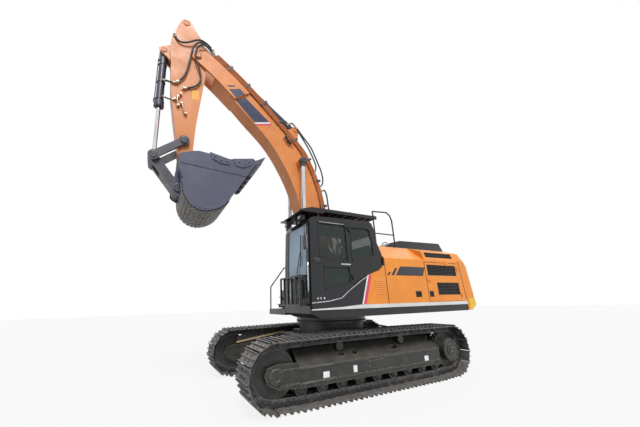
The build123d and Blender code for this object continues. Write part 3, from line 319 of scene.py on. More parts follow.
# Pale white on the lamp glasses is a painted glint.
lamp_glass_painted_glint = plain_finish("ribbed_lamp_lens_with_painted_glint", "#D8DEE3", "#C2C9CF", 0.08, 0.0, 50, 12, 0.6)
# Dark brown behind the grilles is partly the cooler's dusty fins and partly painted shade of the recess.
vent_core_and_painted_shade = plain_finish("dusty_core_and_painted_shade_behind_the_grilles", "#2C2725", "#3A322D", 0.8, 0.0, 60, 8, 2.0)


def coloured_glass_sheet(name, sheet_hex, cover):
    """Safety glass: a smooth sheet in one colour, a tint on the side windows and a painted reflection on the
    windshield.
    """
    made, _, shader, _ = new_material(name, sheet_hex, 0.04)
    shader.inputs["Alpha"].default_value = cover
    shader.inputs["IOR"].default_value = 1.52
    return made


cab_glass = coloured_glass_sheet("green_tinted_glass", "#2C3A35", 0.46)
# Pale blue on the windshield is a painted reflection.
windshield_painted_reflection = coloured_glass_sheet("pale_blue_painted_reflection_on_the_windshield", "#A9C3D6", 0.62)
print("finishes with plating, rubber, vinyl and glass:", len(bpy.data.materials))

# %% [markdown]
# ## Seat cloth
# The driver's seat is polyester cloth in a plain weave. Its threads are under a millimetre, so the
# weave is drawn 7 mm across, as two crossed waves that raise the surface. Its crowns are drawn
# lighter and its hollows darker, as a painted highlight and painted shade.

# %% Seat cloth
seat_cloth, cloth_tree, cloth_shader, cloth_place = new_material("woven_seat_cloth", "#2C2C31", 0.85)
thread_mm = 7
threads = []
for direction in ("Y", "Z"):
    settings = {"bands_direction": direction, "Scale": per_metre(thread_mm) / 6.283, "Distortion": 0.3}
    threads.append(
        add_node(cloth_tree, "ShaderNodeTexWave", settings, {"Vector": cloth_place}).outputs["Fac"]
    )
weave = multiply(cloth_tree, *threads)
# Lighter crowns and darker hollows of the weave are a painted highlight and painted shade.
cloth_tree.links.new(blend_in(cloth_tree, "#242428", "#47474E", weave), cloth_shader.inputs["Base Color"])
weave_bump = add_node(cloth_tree, "ShaderNodeBump", {"Strength": 0.5, "Distance": 0.002}, {"Height": weave})
cloth_tree.links.new(weave_bump.outputs["Normal"], cloth_shader.inputs["Normal"])
cloth_shader.inputs["Sheen Weight"].default_value = 0.3
print("weave drawn", thread_mm, "mm across")

# %% [markdown]
# ## Which finish goes where
# The frame names a paint slot for each of its pieces, so one table of slots dresses them all. The boom
# and the arm are welded and sprayed apart from the body and fade more, the sills are near white, a
# painted highlight of light along the dark deck's edge, and the bucket's links are near black. A second,
# shorter table names those.

# %% Finishes on the frame's pieces
finish_of_slot = {
    "body_paint": orange_enamel,
    "black_paint": black_enamel,
    "bucket_paint": slate_enamel,
    "tooth_steel": tooth_steel,
    "frame_paint": frame_enamel,
    "track_steel": shoe_steel,
    "rod_chrome": rod_chrome,
    "tube_paint": navy_enamel,
    "seat_fabric": seat_cloth,
    "engine_iron": engine_iron,
    "rail_paint": rail_enamel,
    "window_glass": cab_glass,
    "grille_paint": black_enamel,
    "trim_plastic": cab_plastic,
}
finish_of_node = {
    "boom": boom_enamel,
    "arm": arm_enamel,
    # The sills' near white is a painted highlight.
    "sills": sill_painted_highlight,
    "idler_links": link_enamel,
    "bucket_link": link_enamel,
}
for entry in frame["record"]["subparts"]:
    finish = finish_of_node.get(entry["node"], finish_of_slot[entry["material_slot"]])
    for material_slot in frame["nodes"][entry["node"]].material_slots:
        material_slot.material = finish
print("finishes:", len(bpy.data.materials))

# %% [markdown]
# ## Light and floor
# A plain studio. The floor and the sky show as white to the camera and in mirrors and glass, while
# their light on the machine stays at a plain level, so that each colour shows about as it is written.
# One large soft lamp from the upper left gives the boom's underside its shade.

# %% Light and floor
def white_to_the_eye(tree, under, share):
    """Mixes plain white over a shader for rays that come from the camera, a mirror or glass."""
    rays = add_node(tree, "ShaderNodeLightPath")
    seen = rays.outputs["Is Camera Ray"]
    for kind_of_ray in ("Is Glossy Ray", "Is Transmission Ray"):
        inputs = {0: seen, 1: rays.outputs[kind_of_ray]}
        seen = add_node(tree, "ShaderNodeMath", {"operation": "MAXIMUM"}, inputs).outputs[0]
    white = add_node(tree, "ShaderNodeEmission", {"Color": colour("#FFFFFF"), "Strength": 1.0})
    mix = {0: multiply(tree, seen, share), 1: under, 2: white.outputs[0]}
    return add_node(tree, "ShaderNodeMixShader", None, mix)


floor_half = 60
floor_mesh = bpy.data.meshes.new("floor")
floor_corners = [(x * floor_half, y * floor_half, 0) for x, y in ((-1, -1), (1, -1), (1, 1), (-1, 1))]
floor_mesh.from_pydata(floor_corners, [], [(0, 1, 2, 3)])
floor = bpy.data.objects.new("floor", floor_mesh)
bpy.context.collection.objects.link(floor)
pale_floor, floor_tree, floor_shader, _ = new_material("pale_studio_floor", "#BDBDBB", 0.9)
floor_white = white_to_the_eye(floor_tree, floor_shader.outputs["BSDF"], 0.86)
floor_out = next(node for node in floor_tree.nodes if node.type == "OUTPUT_MATERIAL")
floor_tree.links.new(floor_white.outputs[0], floor_out.inputs["Surface"])
floor_mesh.materials.append(pale_floor)

world = bpy.data.worlds.new("studio")
bpy.context.scene.world = world
world.use_nodes = True
sky = world.node_tree
sky.nodes.clear()
sky_light = add_node(sky, "ShaderNodeBackground", {"Color": colour("#EFF3FA"), "Strength": 0.55})
sky_white = white_to_the_eye(sky, sky_light.outputs[0], 1.0)
add_node(sky, "ShaderNodeOutputWorld", None, {"Surface": sky_white.outputs[0]})

lamp_data = bpy.data.lights.new("large_soft_lamp", "SUN")
lamp_data.energy = 2.7
lamp_data.angle = math.radians(25)
lamp = bpy.data.objects.new("large_soft_lamp", lamp_data)
lamp.rotation_euler = (math.radians(-38), math.radians(12), 0)
bpy.context.collection.objects.link(lamp)
print("one lamp of", round(lamp_data.energy, 1), "over a floor", 2 * floor_half, "m wide")

# %% [markdown]
# ## Shapes
# Every piece below is made in mesh code from five simple parts: a box with its edges taken off, a
# flat plate cut to an outline, a turned part, a round tube along a smooth line, and a hexagon bolt.
# A part is made at the origin and then joined to its piece at a place, so one bolt can stand in many.

# %% Boxes and plates
def box_part(size, bevel=0.004):
    """A box around the origin with its edges taken off."""
    part = bmesh.new()
    bmesh.ops.create_cube(part, size=1.0, matrix=Matrix.Diagonal((*size, 1)))
    bmesh.ops.bevel(part, geom=part.edges[:], offset=min(bevel, min(size) * 0.4), segments=2, affect="EDGES")
    return part


def plate_part(outline, thickness, bevel=0.002):
    """A plate in X and Z that is thickness wide along Y, with its front edges taken off."""
    part = bmesh.new()
    face = part.faces.new([part.verts.new((x, 0, z)) for x, z in outline])
    moved = bmesh.ops.extrude_face_region(part, geom=[face])["geom"]
    far = [v for v in moved if isinstance(v, bmesh.types.BMVert)]
    bmesh.ops.translate(part, vec=(0, thickness, 0), verts=far)
    rims = [e for e in part.edges if abs(e.verts[0].co.y - e.verts[1].co.y) < 1e-6]
    if bevel:
        bmesh.ops.bevel(part, geom=rims, offset=min(bevel, abs(thickness) * 0.4), segments=1, affect="EDGES")
    return part


# %% [markdown]
# ## Turned parts and rings
# Caps, bolts, rollers and lamps are round, and a workshop turns them on a lathe. A turned part copies
# that: a profile of heights and radii goes round Z. It could be a drawn line under a screw modifier,
# but rings of points stand just where the profile says, and need nothing to be applied.

# %% Turned parts and rings
def turned_part(profile, sides=32):
    """A turned part around Z from rings of (height, radius)."""
    part = bmesh.new()
    rings = []
    for height, radius in profile:
        angles = [2 * math.pi * i / sides for i in range(sides)]
        rings.append([part.verts.new((radius * math.cos(a), radius * math.sin(a), height)) for a in angles])
    for low, high in zip(rings, rings[1:]):
        for i in range(sides):
            part.faces.new((low[i], low[i - 1], high[i - 1], high[i]))
    part.faces.new(rings[0])
    part.faces.new(rings[-1][::-1])
    return part


def ring_part(inner, outer, height, bevel=0.003, sides=40):
    """A ring around Z with its outer edges taken off, open in the middle."""
    part = bmesh.new()
    profile = [
        (0, inner), (0, outer - bevel), (bevel, outer), (height - bevel, outer), (height, outer - bevel),
        (height, inner),
    ]
    rings = []
    for z, radius in profile:
        angles = [2 * math.pi * i / sides for i in range(sides)]
        rings.append([part.verts.new((radius * math.cos(a), radius * math.sin(a), z)) for a in angles])
    for low, high in zip(rings, rings[1:] + rings[:1]):
        for i in range(sides):
            part.faces.new((low[i], low[i - 1], high[i - 1], high[i]))
    return part


# %% [markdown]
# ## Tubes
# Pipes, hoses, rails and bars are all a round section along a line. A pipe is bent on rollers and so
# has no corners. A NURBS line through a few control points bends as smoothly, and its bevel depth is
# the pipe's radius, so a route stays a short list of places.

# %% Tubes
def tube_part(points, radius, fine=3):
    """A round tube along a smooth NURBS line through its control points."""
    line = bpy.data.curves.new("line", "CURVE")
    line.dimensions = "3D"
    spline = line.splines.new("NURBS")
    spline.points.add(len(points) - 1)
    for point, place in zip(spline.points, points):
        point.co = (*place, 1)
    spline.order_u = 3
    spline.use_endpoint_u = True
    line.resolution_u = 8
    line.bevel_depth = radius
    line.bevel_resolution = fine
    line.use_fill_caps = True
    holder = bpy.data.objects.new("line", line)
    mesh = bpy.data.meshes.new_from_object(holder)
    part = bmesh.new()
    part.from_mesh(mesh)
    bpy.data.objects.remove(holder)
    bpy.data.curves.remove(line)
    bpy.data.meshes.remove(mesh)
    return part


# %% [markdown]
# ## Bolts, joining and finished pieces
# A bolt is a hexagon head on a washer. Copies of one mesh are joined at many places, so that hundreds
# of bolts stay one piece. The last step is the same for all pieces: the shape moves into the frame,
# gets its finish, and rides on the body that carries it.

# %% Bolts, joining and finished pieces
def bolt_part(size):
    """A hexagon head on a washer, standing on the XY plane; size is across the corners."""
    part = turned_part([(0, size * 0.62), (size * 0.1, size * 0.62)], 20)
    head = turned_part([(size * 0.1, size * 0.5), (size * 0.42, size * 0.5), (size * 0.5, size * 0.42)], 6)
    join(part, head)
    return part


def join(shape, part, matrix=None, copies=None):
    """Adds a part to a shape at one place, or at each of several, and frees the part."""
    scratch = bpy.data.meshes.new("scratch")
    part.to_mesh(scratch)
    part.free()
    for place in copies or [matrix]:
        start = len(shape.verts)
        shape.from_mesh(scratch)
        if place is not None:
            shape.verts.ensure_lookup_table()
            bmesh.ops.transform(shape, matrix=place, verts=shape.verts[start:])
    bpy.data.meshes.remove(scratch)


def aim(place, direction):
    """A place whose Z axis points along a direction."""
    turn = Vector(direction).to_track_quat("Z", "Y").to_matrix().to_4x4()
    return Matrix.Translation(place) @ turn


def new_piece(name, shape, finish, body):
    """Turns a shape into an object that is smooth up to 35 degrees and rides on a body."""
    bmesh.ops.recalc_face_normals(shape, faces=shape.faces)
    bmesh.ops.translate(shape, vec=(slew_x, 0, 0), verts=shape.verts)
    for face in shape.faces:
        face.smooth = True
    for edge in shape.edges:
        edge.smooth = len(edge.link_faces) == 2 and edge.calc_face_angle(0) < math.radians(35)
    mesh = bpy.data.meshes.new(name)
    shape.to_mesh(mesh)
    shape.free()
    mesh.materials.append(finish)
    made = bpy.data.objects.new(name, mesh)
    bpy.context.collection.objects.link(made)
    if body:
        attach(made, body)
    print("made", name, "with", len(mesh.polygons), "faces")
    return made


def box_between(shape, low, high, bevel=0.004):
    """Joins a box between two corners to a shape."""
    low, high = Vector(low), Vector(high)
    join(shape, box_part(high - low, bevel), Matrix.Translation((low + high) / 2))


def box_on_side(shape, low, high, side, bevel=0.004):
    """Joins a box that is given on the left side, or its twin on the right side."""
    corners = [(x, side * y, z) for x, y, z in (low, high)]
    box_between(shape, tuple(map(min, *corners)), tuple(map(max, *corners)), bevel)


def on_side(points, side):
    """The same places on one side of the machine."""
    return [(x, side * y, z) for x, y, z in points]


# %% [markdown]
# ## Pins and their caps
# Every joint of the boom, arm and bucket turns on a hardened pin. A real pin is held by a collar
# welded to the plate and a cap with bolts, and a grease nipple stands beside it. The caps are turned
# parts, the same on both sides, sized from the pin that each one holds.

# %% Pins
pivot = {
    "boom_foot": (0.100, 1.950),
    "boom_nose": (3.480, 7.280),
    "lift_foot": (0.865, 1.500),
    "lift_eye": (0.790, 5.000),
    "crowd_foot": (0.850, 6.050),
    "crowd_eye": (3.800, 8.200),
    "arm_tip": (3.535, 4.330),
    "curl_foot": (4.203, 7.239),
    "link_joint": (4.125, 4.459),
    "idler": (3.590, 4.920),
    "bucket_pin": (3.617, 3.821),
}
# Each pin as (pivot, body, place along Y of the face that it stands on, pin's radius, finish, slot)
pins = [
    ("boom_foot", "upper", 0.303, 0.060, black_enamel, "black_paint"),
    ("lift_foot", "upper", 0.475, 0.050, black_enamel, "black_paint"),
    ("boom_nose", "boom", 0.287, 0.060, boom_enamel, "body_paint"),
    ("crowd_foot", "boom", 0.140, 0.050, boom_enamel, "body_paint"),
    ("lift_eye", "lift_rods", 0.448, 0.050, link_enamel, "black_paint"),
    ("crowd_eye", "arm", 0.200, 0.055, arm_enamel, "body_paint"),
    ("curl_foot", "arm", 0.128, 0.045, arm_enamel, "body_paint"),
    ("idler", "arm", 0.285, 0.055, link_enamel, "black_paint"),
    ("link_joint", "idler_links", 0.272, 0.050, link_enamel, "black_paint"),
    ("bucket_pin", "bucket", 0.283, 0.060, slate_enamel, "bucket_paint"),
    ("arm_tip", "bucket", 0.265, 0.060, slate_enamel, "bucket_paint"),
]
for name, body, face_y, radius, finish, slot in pins:
    shape = bmesh.new()
    x, z = pivot[name]
    outer = radius * 1.45
    cap = [
        (0, outer), (0.010, outer), (0.014, outer - 0.006), (0.014, radius * 0.95), (0.008, radius * 0.85),
        (0.008, 0.012),
    ]
    for side in (1, -1):
        face = aim((x, side * face_y, z), (0, side, 0))
        join(shape, turned_part(cap), face)
        turns = [face @ Matrix.Rotation(math.radians(a), 4, "Z") for a in (30, 150, 270)]
        spots = [turn @ Matrix.Translation((radius * 1.2, 0, 0.013)) for turn in turns]
        join(shape, bolt_part(0.022), copies=spots)
        join(
            shape, turned_part([(0, 0.008), (0.012, 0.008), (0.016, 0.004), (0.022, 0.004)], 10),
            face @ Matrix.Translation((0, 0, 0.008)),
        )
    new_piece(name + "_caps", shape, finish, body)

# %% [markdown]
# ## Cylinders
# Each hydraulic cylinder is a painted tube with a bolted head, where a chromed rod comes out through
# a wiper. A steel pipe runs along the tube to feed the head's end, held by bands. Rods end in a forged
# eye, which is painted too, so a painted shell goes round each chromed eye of the frame.

# %% Cylinders
def run_frame(start, end, y):
    """A place at start with Z towards end, X along Y, and Y square to both."""
    run = Vector((end[0] - start[0], 0, end[1] - start[1])).normalized()
    across = Vector((0, 1, 0))
    turn = Matrix((across, run.cross(across), run)).transposed().to_4x4()
    return Matrix.Translation((start[0], y, start[1])) @ turn


# Each as (name, body, rod's body, start, end, places along Y, tube's radius, tube's length,
# rod's radius, eye's radius, half the eye's width)
cylinders = [
    (
        "lift", "lift_barrels", "lift_rods", "lift_foot", "lift_eye", (0.375, -0.375), 0.090, 1.900, 0.053,
        0.092, 0.055,
    ),
    (
        "crowd", "crowd_barrel", "crowd_rod", "crowd_foot", "crowd_eye", (0,), 0.095, 1.800, 0.055, 0.110,
        0.085,
    ),
    ("curl", "curl_barrel", "curl_rod", "curl_foot", "link_joint", (0,), 0.080, 1.480, 0.045, 0.105, 0.085),
]
for name, body, rod_body, start, end, rows, radius, length, rod_radius, eye_radius, half in cylinders:
    tube_shape, zinc_shape, eye_shape, seal_shape = bmesh.new(), bmesh.new(), bmesh.new(), bmesh.new()
    span = math.dist(pivot[start], pivot[end])
    for y in rows:
        run = run_frame(pivot[start], pivot[end], y)
        head = radius + 0.020
        join(
            tube_shape, ring_part(rod_radius + 0.006, head + 0.006, 0.045, 0.005),
            run @ Matrix.Translation((0, 0, length - 0.045)),
        )
        for z in (0.32, length * 0.55, length - 0.22):
            join(
                tube_shape, ring_part(radius - 0.004, radius + 0.009, 0.035),
                run @ Matrix.Translation((0, 0, z)),
            )
            join(
                tube_shape, box_part((0.05, 0.028, 0.035)),
                run @ Matrix.Translation((0, radius + 0.018, z + 0.0175)),
            )
        feed = [
            (0, radius, 0.19), (0, radius + 0.026, 0.20), (0, radius + 0.020, 0.26),
            (0, radius + 0.020, 0.4),
        ]
        feed += [(0, radius + 0.020, length * 0.5), (0, radius + 0.020, length - 0.24)]
        feed += [
            (0, radius + 0.034, length - 0.18), (0, radius + 0.036, length - 0.10),
            (0, radius + 0.01, length - 0.085),
        ]
        join(tube_shape, tube_part(feed, 0.011), run)
        join(tube_shape, box_part((0.06, 0.04, 0.06)), run @ Matrix.Translation((0, radius + 0.008, 0.19)))
        face = run @ Matrix.Translation((0, 0, length))
        turns = [face @ Matrix.Rotation(2 * math.pi * i / 8, 4, "Z") for i in range(8)]
        join(
            zinc_shape, bolt_part(0.022),
            copies=[t @ Matrix.Translation((head - 0.016, 0, 0)) for t in turns],
        )
        join(seal_shape, ring_part(rod_radius + 0.001, rod_radius + 0.012, 0.014, 0.002), face)
        eye_x, eye_z = pivot[end]
        along_y = Matrix.Rotation(-math.pi / 2, 4, "X")
        eye_place = Matrix.Translation((eye_x, y - half - 0.003, eye_z)) @ along_y
        join(eye_shape, ring_part(0.052, eye_radius + 0.003, 2 * half + 0.006, 0.006), eye_place)
        neck = [
            (span - eye_radius - 0.075, rod_radius + 0.006), (span - eye_radius - 0.055, rod_radius + 0.016)
        ]
        join(eye_shape, turned_part(neck + [(span - eye_radius * 0.7, rod_radius + 0.020)]), run)
    new_piece(name + "_tube_fittings", tube_shape, navy_enamel, body)
    new_piece(name + "_head_bolts", zinc_shape, zinc_plate, body)
    new_piece(name + "_wipers", seal_shape, seal_rubber, body)
    new_piece(name + "_rod_eyes", eye_shape, link_enamel, rod_body)

# %% [markdown]
# ## Pipes and hoses of the boom
# Oil reaches the arm through steel pipes along the boom's top edge. They are painted with the boom,
# so in the photograph they read as orange lines with dark gaps. Their orange is drawn darker and
# browner than the boom's, as painted shade of their shadowed sides. Clamps hold them on short blocks.
# Where a joint moves, rubber hoses take over, in loops long enough for the whole swing.

# %% Pipes along the boom
foot_x, foot_z = pivot["boom_foot"]
nose_x, nose_z = pivot["boom_nose"]
boom_run = (Vector((nose_x, 0, nose_z)) - Vector((foot_x, 0, foot_z))).normalized()
boom_rise = Vector((-boom_run.z, 0, boom_run.x))


def on_boom(u, y, v):
    """A place by millimetres along and across the boom's line between its end pins."""
    return Vector((foot_x, y, foot_z)) + boom_run * (u / 1000) + boom_rise * (v / 1000)


boom_top = [
    (700, 560), (900, 590), (1350, 800), (1924, 1050), (2400, 1200), (2900, 1280), (3308, 1285),
    (3800, 1170), (4454, 1010), (5107, 780), (5640, 600), (6036, 444), (6240, 350),
]
pipe_shape, clamp_shape, clamp_bolts = bmesh.new(), bmesh.new(), bmesh.new()
# Each pipe as (height over the boom's top edge, place along Y), low on the boom and then near its nose
pipe_rows = [((-8, 0.236), (52, 0.235)), ((60, 0.205), (108, 0.235)), ((122, 0.185), (164, 0.235))]
nose_from = 4600
for side in (1, -1):
    for rows in pipe_rows:
        route = []
        for u, v in boom_top:
            lift, wide = rows[u > nose_from]
            route.append(on_boom(u + lift * 0.15, side * wide, v + lift))
        join(pipe_shape, tube_part(route, 0.0245, 4))
    for u in (1150, 1700, 2350, 2950, 3560, 4150, 4750, 5300, 5850):
        (low_u, low_v), (high_u, high_v) = next(
            pair
            for pair in zip(boom_top, boom_top[1:]) if pair[0][0] <= u < pair[1][0]
        )
        v = low_v + (high_v - low_v) * (u - low_u) / (high_u - low_u)
        slope = math.atan2(high_v - low_v, high_u - low_u)
        lift, wide = (108, 0.235) if u > nose_from else (66, 0.208)
        lean = math.atan2(boom_run.z, boom_run.x) + slope
        place = Matrix.Translation(on_boom(u, side * wide, v + lift)) @ Matrix.Rotation(-lean, 4, "Y")
        join(clamp_shape, box_part((0.055, 0.056, 0.225), 0.006), place)
        join(clamp_bolts, bolt_part(0.024), place @ Matrix.Translation((0, 0, 0.112)))
# The pipes' darker orange is painted shade.
new_piece("boom_pipes", pipe_shape, pipe_orange_with_painted_shade, "boom")
new_piece("boom_pipe_clamps", clamp_shape, link_enamel, "boom")
new_piece("boom_clamp_bolts", clamp_bolts, zinc_plate, "boom")

# %% [markdown]
# ## Hoses
# A hydraulic hose is rubber over wire, with a crimped sleeve and a nut at each end. One function makes
# any of them from its route. A hose that crosses a joint rides on neither body and keeps its drawn
# shape, while its two fittings stay on their own bodies. A cloth or rope simulation would sag it, but
# such a hose is stiff with pressure and keeps its loop, so a drawn route is closer.

# %% One hose
def fitting_part(radius):
    """A crimped sleeve and a hexagon nut for a hose's end, along Z from the end inward."""
    part = turned_part(
        [(0.016, radius * 1.28), (0.02, radius * 1.34), (0.062, radius * 1.34), (0.07, radius * 1.1)], 20
    )
    join(
        part,
        turned_part(
            [(0, radius * 1.3), (0.003, radius * 1.5), (0.018, radius * 1.5), (0.021, radius * 1.3)], 6
        ),
    )
    join(part, turned_part([(-0.05, radius * 0.9), (0.001, radius * 0.9)], 16))
    return part


def add_hose(name, points, radius, body=None, across=None):
    """A rubber hose with a fitting at each end, riding on one body, or across a joint on none while its
    fittings ride on the two.
    """
    points = [Vector(p) for p in points]
    hose, ends = bmesh.new(), []
    join(hose, tube_part(points, radius, 4))
    made = new_piece(name, hose, hose_rubber, None if across else body)
    bodies = (across[0], across[1]) if across else (body, body)
    for tip, inner, end_body, mark in (
        (points[0], points[1], bodies[0], "start"), (points[-1], points[-2], bodies[1], "end")
    ):
        shape = bmesh.new()
        join(shape, fitting_part(radius), aim(tip, inner - tip))
        ends.append(new_piece(name + "_" + mark, shape, zinc_plate, end_body))
    if across:
        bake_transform(made)
    return made


# %% Hoses from the boom to the arm
hose_radius = 0.021
# Where the bend at the boom's nose starts and ends, and each route on the left side
nose_bend = [(3.20, 0.25, 7.55), (3.72, 0.25, 7.10)]
nose_routes = {
    "horn_hose": [
        (3.13, 0.235, 7.60), (3.24, 0.25, 7.72), (3.48, 0.29, 7.76), (3.68, 0.27, 7.58),
        (3.86, 0.24, 7.50), (3.99, 0.225, 7.58), (4.03, 0.215, 7.70),
    ],
    "long_loop_hose": [
        (3.15, 0.235, 7.53), (3.27, 0.27, 7.63), (3.46, 0.33, 7.66), (3.60, 0.31, 7.46), (3.63, 0.27, 7.18),
        (3.66, 0.25, 6.89), (3.70, 0.245, 6.64), (3.78, 0.245, 6.44), (3.86, 0.23, 6.36),
    ],
    "short_loop_hose": [
        (3.10, 0.235, 7.50), (3.20, 0.28, 7.58), (3.40, 0.34, 7.60), (3.53, 0.33, 7.42), (3.53, 0.28, 7.15),
        (3.45, 0.27, 6.97), (3.38, 0.26, 6.78), (3.36, 0.25, 6.57), (3.45, 0.24, 6.40), (3.60, 0.23, 6.30),
        (3.70, 0.225, 6.25),
    ],
}
for side, mark in ((1, "left"), (-1, "right")):
    for name, route in nose_routes.items():
        across = ("boom", "arm", *on_side(nose_bend, side))
        add_hose(name + "_" + mark, on_side(route, side), hose_radius, across=across)

feed_route = [(3.88, 0.23, 6.34), (3.97, 0.22, 6.32), (4.05, 0.19, 6.35), (4.13, 0.12, 6.41)]
feed_bend = ((3.90, 0.23, 6.33), (4.10, 0.14, 6.38))
add_hose("tube_feed_hose", feed_route, hose_radius, across=("arm", "curl_barrel", *feed_bend))
return_route = [(3.86, 0.215, 5.90), (3.93, 0.215, 5.88), (4.01, 0.18, 5.90), (4.09, 0.11, 5.98)]
return_bend = ((3.92, 0.2, 5.9), (4.07, 0.12, 5.96))
add_hose("tube_return_hose", return_route, 0.016, across=("arm", "curl_barrel", *return_bend))

# %% [markdown]
# ## Hoses behind the boom
# Behind the cab, hoses leave the upper body and climb the boom's back. They cross the boom's foot pin,
# so they stand in a slack bow behind it. Higher up, four more hoses feed the arm's cylinder and ride on
# the boom alone.

# %% Hoses behind the boom
for i, y in enumerate((-0.15, -0.09, 0.03, 0.09)):
    route = [
        (-0.42, y, 1.80), (-0.50, y, 2.05), (-0.42, y, 2.42), (-0.22, y, 2.66), (-0.05, y * 1.1, 2.76),
        (0.03, y * 1.2, 2.86),
    ]
    add_hose(
        "boom_foot_hose_%d" % (i + 1), route, 0.024,
        across=("upper", "boom", (-0.42, y, 1.95), (-0.02, y, 2.72)),
    )
for i, y in enumerate((0.150, -0.150)):
    wide = math.copysign(0.185, y)
    long_route = [
        (-0.42, y, 1.80), (-0.52, y, 2.10), (-0.45, y, 2.55), (-0.27, y, 3.00), (-0.12, y, 3.50),
        (-0.045, y, 3.96), (-0.03, y, 4.28), (0.04, y, 4.44), (0.17, wide, 4.34),
    ]
    add_hose(
        "boom_back_hose_%d" % (i + 1), long_route, 0.020,
        across=("upper", "boom", (-0.42, y, 1.95), (-0.1, y, 3.1)),
    )
    outer_route = [
        (1.03, y * 0.67, 6.20), (0.96, y * 0.9, 6.26), (0.84, y, 6.14), (0.73, y, 6.02), (0.63, y, 5.89),
        (0.50, y, 5.75), (0.38, y, 5.61), (0.27, y, 5.36), (0.17, y, 5.12), (0.10, y, 4.95), (0.06, y, 4.73),
        (0.09, y, 4.54), (0.22, wide, 4.44),
    ]
    inner_route = [
        (0.85, y, 6.13), (0.74, y, 5.98), (0.62, y, 5.80), (0.46, y, 5.56), (0.31, y, 5.24),
        (0.24, y, 5.02), (0.34, wide, 4.83),
    ]
    for mark, points in (("outer", outer_route), ("inner", inner_route)):
        add_hose("crowd_feed_hose_%s_%d" % (mark, i + 1), points, 0.019, body="boom")

# %% [markdown]
# ## Fittings and films on the arm and boom
# The arm carries bulkhead fittings where its hoses end. The boom's side shows a slanted dark panel of
# vinyl film with a white and a red line at its foot, and the arm a small yellow one. Each film is a
# millimetre-thin plate here, left blank, and is the same on both sides.

# %% Arm fittings and films
def film(name, outline, y, finish, body, slot="trim_plastic", both=True, thickness=0.002):
    """A thin plate on a side of the machine, and its twin on the other side."""
    shape = bmesh.new()
    for side in (1, -1) if both else (1,):
        join(shape, plate_part(outline, side * thickness, 0), Matrix.Translation((0, side * y, 0)))
    return new_piece(name, shape, finish, body)


fitting_shape, block_shape = bmesh.new(), bmesh.new()
for side in (1, -1):
    for x, z in (
        (3.80, 5.99), (3.76, 6.07), (3.78, 5.76), (3.72, 5.83), (3.62, 5.60), (3.70, 6.25), (4.03, 7.70),
        (3.86, 6.36), (3.86, 5.90),
    ):
        place = aim((x, side * 0.200, z), (0, side, 0))
        join(block_shape, box_part((0.075, 0.075, 0.024)), place @ Matrix.Translation((0, 0, 0.012)))
        join(fitting_shape, turned_part([(0.02, 0.028), (0.05, 0.028), (0.054, 0.024)], 6), place)
        join(fitting_shape, turned_part([(0.05, 0.018), (0.075, 0.018)], 16), place)
    for points in (
        [(3.80, 0.262, 5.99), (3.82, 0.268, 5.93), (3.80, 0.268, 5.83), (3.78, 0.262, 5.76)],
        [(3.72, 0.262, 5.83), (3.69, 0.270, 5.76), (3.66, 0.270, 5.66), (3.62, 0.262, 5.60)],
    ):
        join(fitting_shape, tube_part([(x, side * y, z) for x, y, z in points], 0.013))
new_piece("arm_fittings", fitting_shape, zinc_plate, "arm")
new_piece("arm_fitting_blocks", block_shape, arm_enamel, "arm")


def boom_outline(points):
    """Boom places in millimetres as an outline in X and Z."""
    return [(place.x, place.z) for place in (on_boom(u, 0, v) for u, v in points)]


panel_y, cheek_y = 0.2071, 0.2572
film(
    "boom_panel", boom_outline([(5040, 322), (5040, 618), (4243, 880), (4352, 475)]), panel_y, navy_vinyl,
    "boom",
)
film(
    "boom_panel_tip", boom_outline([(5320, 287), (5262, 572), (5090, 628), (5066, 343)]), cheek_y,
    navy_vinyl, "boom",
)
film(
    "boom_small_mark", boom_outline([(5430, 290), (5385, 470), (5335, 486), (5380, 306)]), cheek_y,
    navy_vinyl, "boom",
)
film(
    "boom_white_line", boom_outline([(4352, 475), (4243, 880), (4198, 892), (4307, 487)]), panel_y,
    white_vinyl, "boom",
)
film(
    "boom_red_line", boom_outline([(4307, 487), (4198, 892), (4151, 906), (4260, 501)]), panel_y, red_vinyl,
    "boom",
)
film("arm_label", [(3.53, 6.29), (3.38, 6.32), (3.36, 6.08), (3.51, 6.05)], 0.2003, yellow_vinyl, "arm")

# %% [markdown]
# ## Body panels
# The side panels are pressed sheet with rubber along their gaps, paddle latches, and a slanted dark
# film behind the cab that ends in two small marks. A white and a red line follow the cab's slanted
# skirt. The counterweight's lower corners are yellow so that people see them swing.

# %% Films on the body
side_y = 1.4992
# Each film as (name, outline, finish, whether the right side has it too)
side_films = [
    (
        "side_panel_film", [(-0.700, 2.063), (-0.860, 2.255), (-1.625, 2.255), (-1.532, 2.063)], dark_vinyl,
        True,
    ),
    (
        "side_mark_small", [(-0.455, 2.063), (-0.520, 2.130), (-0.575, 2.130), (-0.515, 2.063)], dark_vinyl,
        True,
    ),
    (
        "side_mark_large", [(-0.575, 2.063), (-0.700, 2.215), (-0.770, 2.215), (-0.650, 2.063)], dark_vinyl,
        True,
    ),
    ("side_white_line", [(0.080, 2.035), (0.040, 2.052), (0.238, 1.505), (0.268, 1.505)], white_vinyl, False),
    ("side_red_line", [(0.038, 2.052), (-0.035, 2.072), (0.165, 1.505), (0.236, 1.505)], red_vinyl, False),
]
for name, outline, finish, both in side_films:
    film(name, outline, side_y, finish, "upper", both=both)

